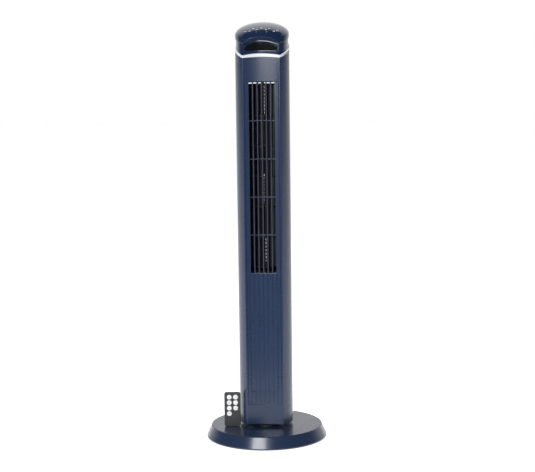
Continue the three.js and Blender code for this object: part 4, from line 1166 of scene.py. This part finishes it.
def stroke_solids(strokes, half, top, bottom):
    """Points and faces of thin strokes: top and bottom turn a place on the print into space."""
    points, faces = [], []
    for stroke in strokes:
        first = len(points)
        for i, here in enumerate(stroke):
            before, after = stroke[max(0, i - 1)], stroke[min(len(stroke) - 1, i + 1)]
            along_x, along_y = after[0] - before[0], after[1] - before[1]
            length = math.hypot(along_x, along_y)
            for side in (-half, half):
                u = here[0] - side * along_y / length
                v = here[1] + side * along_x / length
                points += [top(u, v), bottom(u, v)]
        for i in range(len(stroke) - 1):
            a, b = first + 4 * i, first + 4 * i + 4
            faces += [(a, a + 2, b + 2, b), (a + 1, b + 1, b + 3, a + 3)]
            faces += [(a, b, b + 1, a + 1), (a + 2, a + 3, b + 3, b + 2)]
        last = first + 4 * (len(stroke) - 1)
        faces += [(first, first + 1, first + 3, first + 2), (last, last + 2, last + 3, last + 1)]
    return points, faces


def printed(name, place, strokes, body, half=stroke_half):
    """Thin printed strokes laid on the dome round a key's axis, drawn in millimetres."""
    def on_skin(u, v, lift):
        return on_dome(place + Vector((u * mm, 0, 0)) + key_side * v * mm) + key_up * lift

    points, faces = stroke_solids(
        strokes, half / mm,
        lambda u, v: on_skin(u, v, print_lift),
        lambda u, v: on_skin(u, v, -print_sink),
    )
    place_piece(build(name, points, faces, print_white), body, "white_plastic")


petals = [math.tau * third / 3 for third in range(3)]
signs = {
    "swing": [
        arc((0, 0.4), 2.6, 200, 340, 12),
        [(-2.9, 0.5), (-2.4, -0.5), (-1.4, -0.1)],
        [(2.9, 0.5), (2.4, -0.5), (1.4, -0.1)],
    ],
    "mode": [[(-2.4, y), (-1.2, y + 0.6), (0, y), (1.2, y - 0.6), (2.4, y)] for y in (-1.6, 0, 1.6)],
    "power": [arc((0, 0), 2.4, 125, 415, 20), [(0, 0.4), (0, 3.0)]],
    "speed": [
        arc((1.1 * math.cos(a), 1.1 * math.sin(a)), 1.1, math.degrees(a) - 80, math.degrees(a) + 100, 8)
        for a in (0.3 + petal for petal in petals)
    ],
    "timer": [arc((0, 0), 2.4, 0, 360, 24), [(0, 1.6), (0, 0), (1.2, 0)]],
}
for i, (sign, strokes) in enumerate(signs.items()):
    key = key_grid(key_places[i], key_radius, 8 * mm, f"{sign}_key", gloss_navy, edge=0.25 * mm)
    place_piece(key, f"key_{i + 1}", "navy_gloss", f"key_{i + 1}")
    printed(f"{sign}_sign", key_places[i], strokes, f"key_{i + 1}")

hint_places = ((-27.5, -25), (-10, -21), (11.5, -21), (31, -25))
for number, (x, y) in enumerate(hint_places):
    here = Vector((x * mm, y * mm, cap_under(0, y * mm)))
    lines = [[(-3.2, 0), (3.2, 0)], [(-1.8, -1.7), (1.8, -1.7)]]
    printed(f"hint_{number + 1}", here, lines, "tower", 0.5 * mm)
for number, x in enumerate((-10.8, 13)):
    here = Vector((x * mm, -33 * mm, cap_under(0, -33 * mm)))
    printed(f"lamp_mark_{number + 1}", here, [[(-1.0, 0), (1.0, 0)]], "tower", 0.5 * mm)


# ---- Remote control ----
# A slim charcoal remote stands upright on the base beside the column. Seven round white
# buttons sit in shallow wells, and a smoked window closes the emitter at the top.
case_low, case_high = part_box("remote_case")
case_centre = (case_low + case_high) / 2
remote_width, remote_length, remote_thickness = 40 * mm, case_high.z - case_low.z, 7 * mm
remote_turn = math.radians(3.7)
stood_up = Matrix.Rotation(remote_turn, 4, "Z") @ Matrix.Rotation(math.pi / 2, 4, "X")
to_remote = Matrix.Translation(case_centre) @ stood_up
charcoal = moulded("charcoal_case", (0.032, 0.034, 0.038), 0.5, grain=0.5, grain_size=1800)
button_white = moulded("button_white", (0.85, 0.86, 0.87), 0.38, grain=0.1)
button_print = moulded("button_print", (0.05, 0.055, 0.065), 0.5, grain=0.0)


def rounded_box(width, height, corner, steps=8):
    outline = []
    for k, (sx, sy) in enumerate(((1, 1), (-1, 1), (-1, -1), (1, -1))):
        centre = (sx * (width / 2 - corner), sy * (height / 2 - corner))
        outline += arc(centre, corner, 90 * k, 90 * k + 90, steps)
    return outline


def raised(outline, low, high):
    """Points and faces of a flat outline raised between two levels."""
    count = len(outline)
    points = [(x, y, z) for z in (low, high) for x, y in outline]
    faces = [(i, (i + 1) % count, count + (i + 1) % count, count + i) for i in range(count)]
    return points, faces + [tuple(range(count - 1, -1, -1)), tuple(range(count, 2 * count))]


case_face = remote_thickness / 2
case_outline = rounded_box(remote_width, remote_length, 5.5 * mm)
case = build(
    "remote_body", *raised(case_outline, -case_face, case_face),
    charcoal, bevel=1.3 * mm, bevel_steps=4, limit=50,
)
button_radius, well_radius, well_depth = 5.85 * mm, 6.4 * mm, 2.9 * mm
from_remote = to_remote.inverted()
button_places = []
for i in range(7):
    low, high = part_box(f"remote_button_{i + 1}")
    local = from_remote @ ((low + high) / 2)
    button_places.append((local.x, local.y))


def box_outline(half, low, high):
    return [(-half, low), (half, low), (half, high), (-half, high)]


wells = []
for place in button_places:
    round_well = arc(place, well_radius, 0, 352.5, 47)
    wells.append(build("well", *raised(round_well, case_face - well_depth, 2 * case_face), charcoal))
tray_slot = box_outline(11 * mm, -50 * mm, -17 * mm)
emitter_slot = box_outline(5 * mm, 40 * mm, 50 * mm)
wells.append(build("tray_slot", *raised(tray_slot, -2.5 * mm, 0.9 * mm), charcoal))
wells.append(build("emitter_slot", *raised(emitter_slot, -1.6 * mm, 1.6 * mm), charcoal))
for well in wells:
    cut_away(case, well)
case.data.transform(to_remote)
place_piece(case, "remote", "charcoal_plastic", "remote_case")

button_foot, button_top = case_face - 2.0 * mm, case_face + 1.0 * mm
dash, upstroke = [(-2, 0), (2, 0)], [(0, -2), (0, 2)]
small_signs = [
    signs["power"], signs["timer"], signs["mode"], signs["swing"], [dash], [dash, upstroke], signs["speed"],
]
for i, (x, y) in enumerate(button_places):
    profile = ([(0.0001, button_foot), (button_radius, button_foot)]
               + arc((button_radius - 0.9 * mm, button_top - 1.1 * mm), 0.9 * mm, 0, 78, 6)
               + [(0.5 * button_radius, button_top - 0.05 * mm), (0.0001, button_top)])
    button = lathe(f"white_button_{i + 1}", profile, button_white, segments=48, centre=(x, y))
    button.data.transform(to_remote)
    place_piece(button, f"remote_button_{i + 1}", "white_plastic", f"remote_button_{i + 1}")
    points, faces = stroke_solids(
        small_signs[i], 0.28,
        lambda u, v: (x + 0.8 * u * mm, y + 0.8 * v * mm, button_top + 0.04 * mm),
        lambda u, v: (x + 0.8 * u * mm, y + 0.8 * v * mm, button_top - 0.3 * mm),
    )
    sign = build(f"button_sign_{i + 1}", points, faces, button_print)
    sign.data.transform(to_remote)
    place_piece(sign, f"remote_button_{i + 1}", "charcoal_plastic")


# ---- Swing drive ----
# Inside the neck a ring gear is fixed to the base, and a small geared motor on the column's
# floor turns a pinion against it. Gears and washer are natural acetal, motor and nut are steel.
def dress(finish, *names):
    """Gives parts that keep their solid shape their own finish."""
    for name in names:
        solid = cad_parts[name]
        solid.data.materials.clear()
        solid.data.materials.append(finish)


def metal(name, color, roughness, grain_along):
    """Bare metal with a drawn grain that runs one way."""
    finish = bpy.data.materials.new(name)
    finish.use_nodes = True
    nodes, links = finish.node_tree.nodes, finish.node_tree.links
    shader = nodes["Principled BSDF"]
    shader.inputs["Metallic"].default_value = 1.0
    place = nodes.new("ShaderNodeTexCoord")
    stretch = nodes.new("ShaderNodeMapping")
    stretch.inputs["Scale"].default_value = grain_along
    links.new(place.outputs["Object"], stretch.inputs["Vector"])
    drawn = nodes.new("ShaderNodeTexNoise")
    drawn.inputs["Scale"].default_value = 1.0
    drawn.inputs["Detail"].default_value = 4
    links.new(stretch.outputs[0], drawn.inputs["Vector"])
    tint = nodes.new("ShaderNodeMix")
    tint.data_type = "RGBA"
    tint.inputs["A"].default_value = (*[c * 0.86 for c in color], 1)
    tint.inputs["B"].default_value = (*color, 1)
    links.new(drawn.outputs["Fac"], tint.inputs["Factor"])
    links.new(tint.outputs["Result"], shader.inputs["Base Color"])
    sheen = nodes.new("ShaderNodeMapRange")
    sheen.inputs["To Min"].default_value = roughness - 0.08
    sheen.inputs["To Max"].default_value = roughness + 0.08
    links.new(drawn.outputs["Fac"], sheen.inputs["Value"])
    links.new(sheen.outputs["Result"], shader.inputs["Roughness"])
    return finish


natural_acetal = moulded("natural_acetal", (0.70, 0.68, 0.60), 0.42, grain=0.1)
drawn_steel = metal("drawn_steel", (0.56, 0.57, 0.58), 0.34, (300, 300, 3000))
dress(natural_acetal, "thrust_washer", "hub_gear", "oscillation_pinion")
dress(drawn_steel, "hub_retainer", "oscillation_motor")


# ---- Fan motor and its mounts ----
# The motor is a drawn steel can with a ground shaft. Three soft rubber mounts hang it under a
# moulded deck, and a rubber bush in the top plate takes the wheel's stub.
ground_steel = metal("ground_steel", (0.64, 0.64, 0.64), 0.22, (2500, 2500, 120))
mount_rubber = moulded("mount_rubber", (0.020, 0.019, 0.019), 0.72, grain=0.6, grain_size=1600)
dress(drawn_steel, "fan_motor")
dress(ground_steel, "motor_shaft")
dress(mount_rubber, *[f"rubber_mount_{i}" for i in range(1, 4)], "top_bush")
dress(black_moulded, "motor_deck", "top_bearing_plate")


# ---- Floor, tray and air duct ----
# Plain black mouldings: the column's floor, the shallow tray behind the cover, and the two
# walls that lead the air from the rear grille round the wheel to the front openings.
duct_black = moulded("duct_black", (0.004, 0.005, 0.006), 0.7, grain=0.5, grain_size=1800)
dress(black_moulded, "tower_floor", "storage_tray")
dress(duct_black, "air_guide", "cutoff_wall")


# ---- Circuit boards ----
# Green boards with paler copper tracks under the solder mask: the power board in the column,
# the display board behind the window and the key board under the cap.
board_green = bpy.data.materials.new("board_green")
board_green.use_nodes = True
board_nodes, board_links = board_green.node_tree.nodes, board_green.node_tree.links
board_shader = board_nodes["Principled BSDF"]
board_shader.inputs["Roughness"].default_value = 0.3
board_place = board_nodes.new("ShaderNodeTexCoord")
track_size = board_nodes.new("ShaderNodeMapping")
track_size.inputs["Rotation"].default_value = (0.6, 0.35, 0.2)
board_links.new(board_place.outputs["Object"], track_size.inputs["Vector"])
tracks = board_nodes.new("ShaderNodeTexBrick")
tracks.inputs["Scale"].default_value = 160
tracks.inputs["Mortar Size"].default_value = 0.035
tracks.inputs["Color1"].default_value = (0.012, 0.085, 0.035, 1)
tracks.inputs["Color2"].default_value = (0.015, 0.11, 0.045, 1)
tracks.inputs["Mortar"].default_value = (0.05, 0.20, 0.08, 1)
board_links.new(track_size.outputs[0], tracks.inputs["Vector"])
board_links.new(tracks.outputs["Color"], board_shader.inputs["Base Color"])
dress(board_green, "power_board", "display_board", "control_board")


# ---- Remote's battery tray and emitter ----
# A charcoal tray for one coin cell slides in at the bottom, and a smoked plug covers the
# infra-red emitter at the top edge.
dress(charcoal, "remote_battery_tray")
dress(smoked, "remote_emitter")
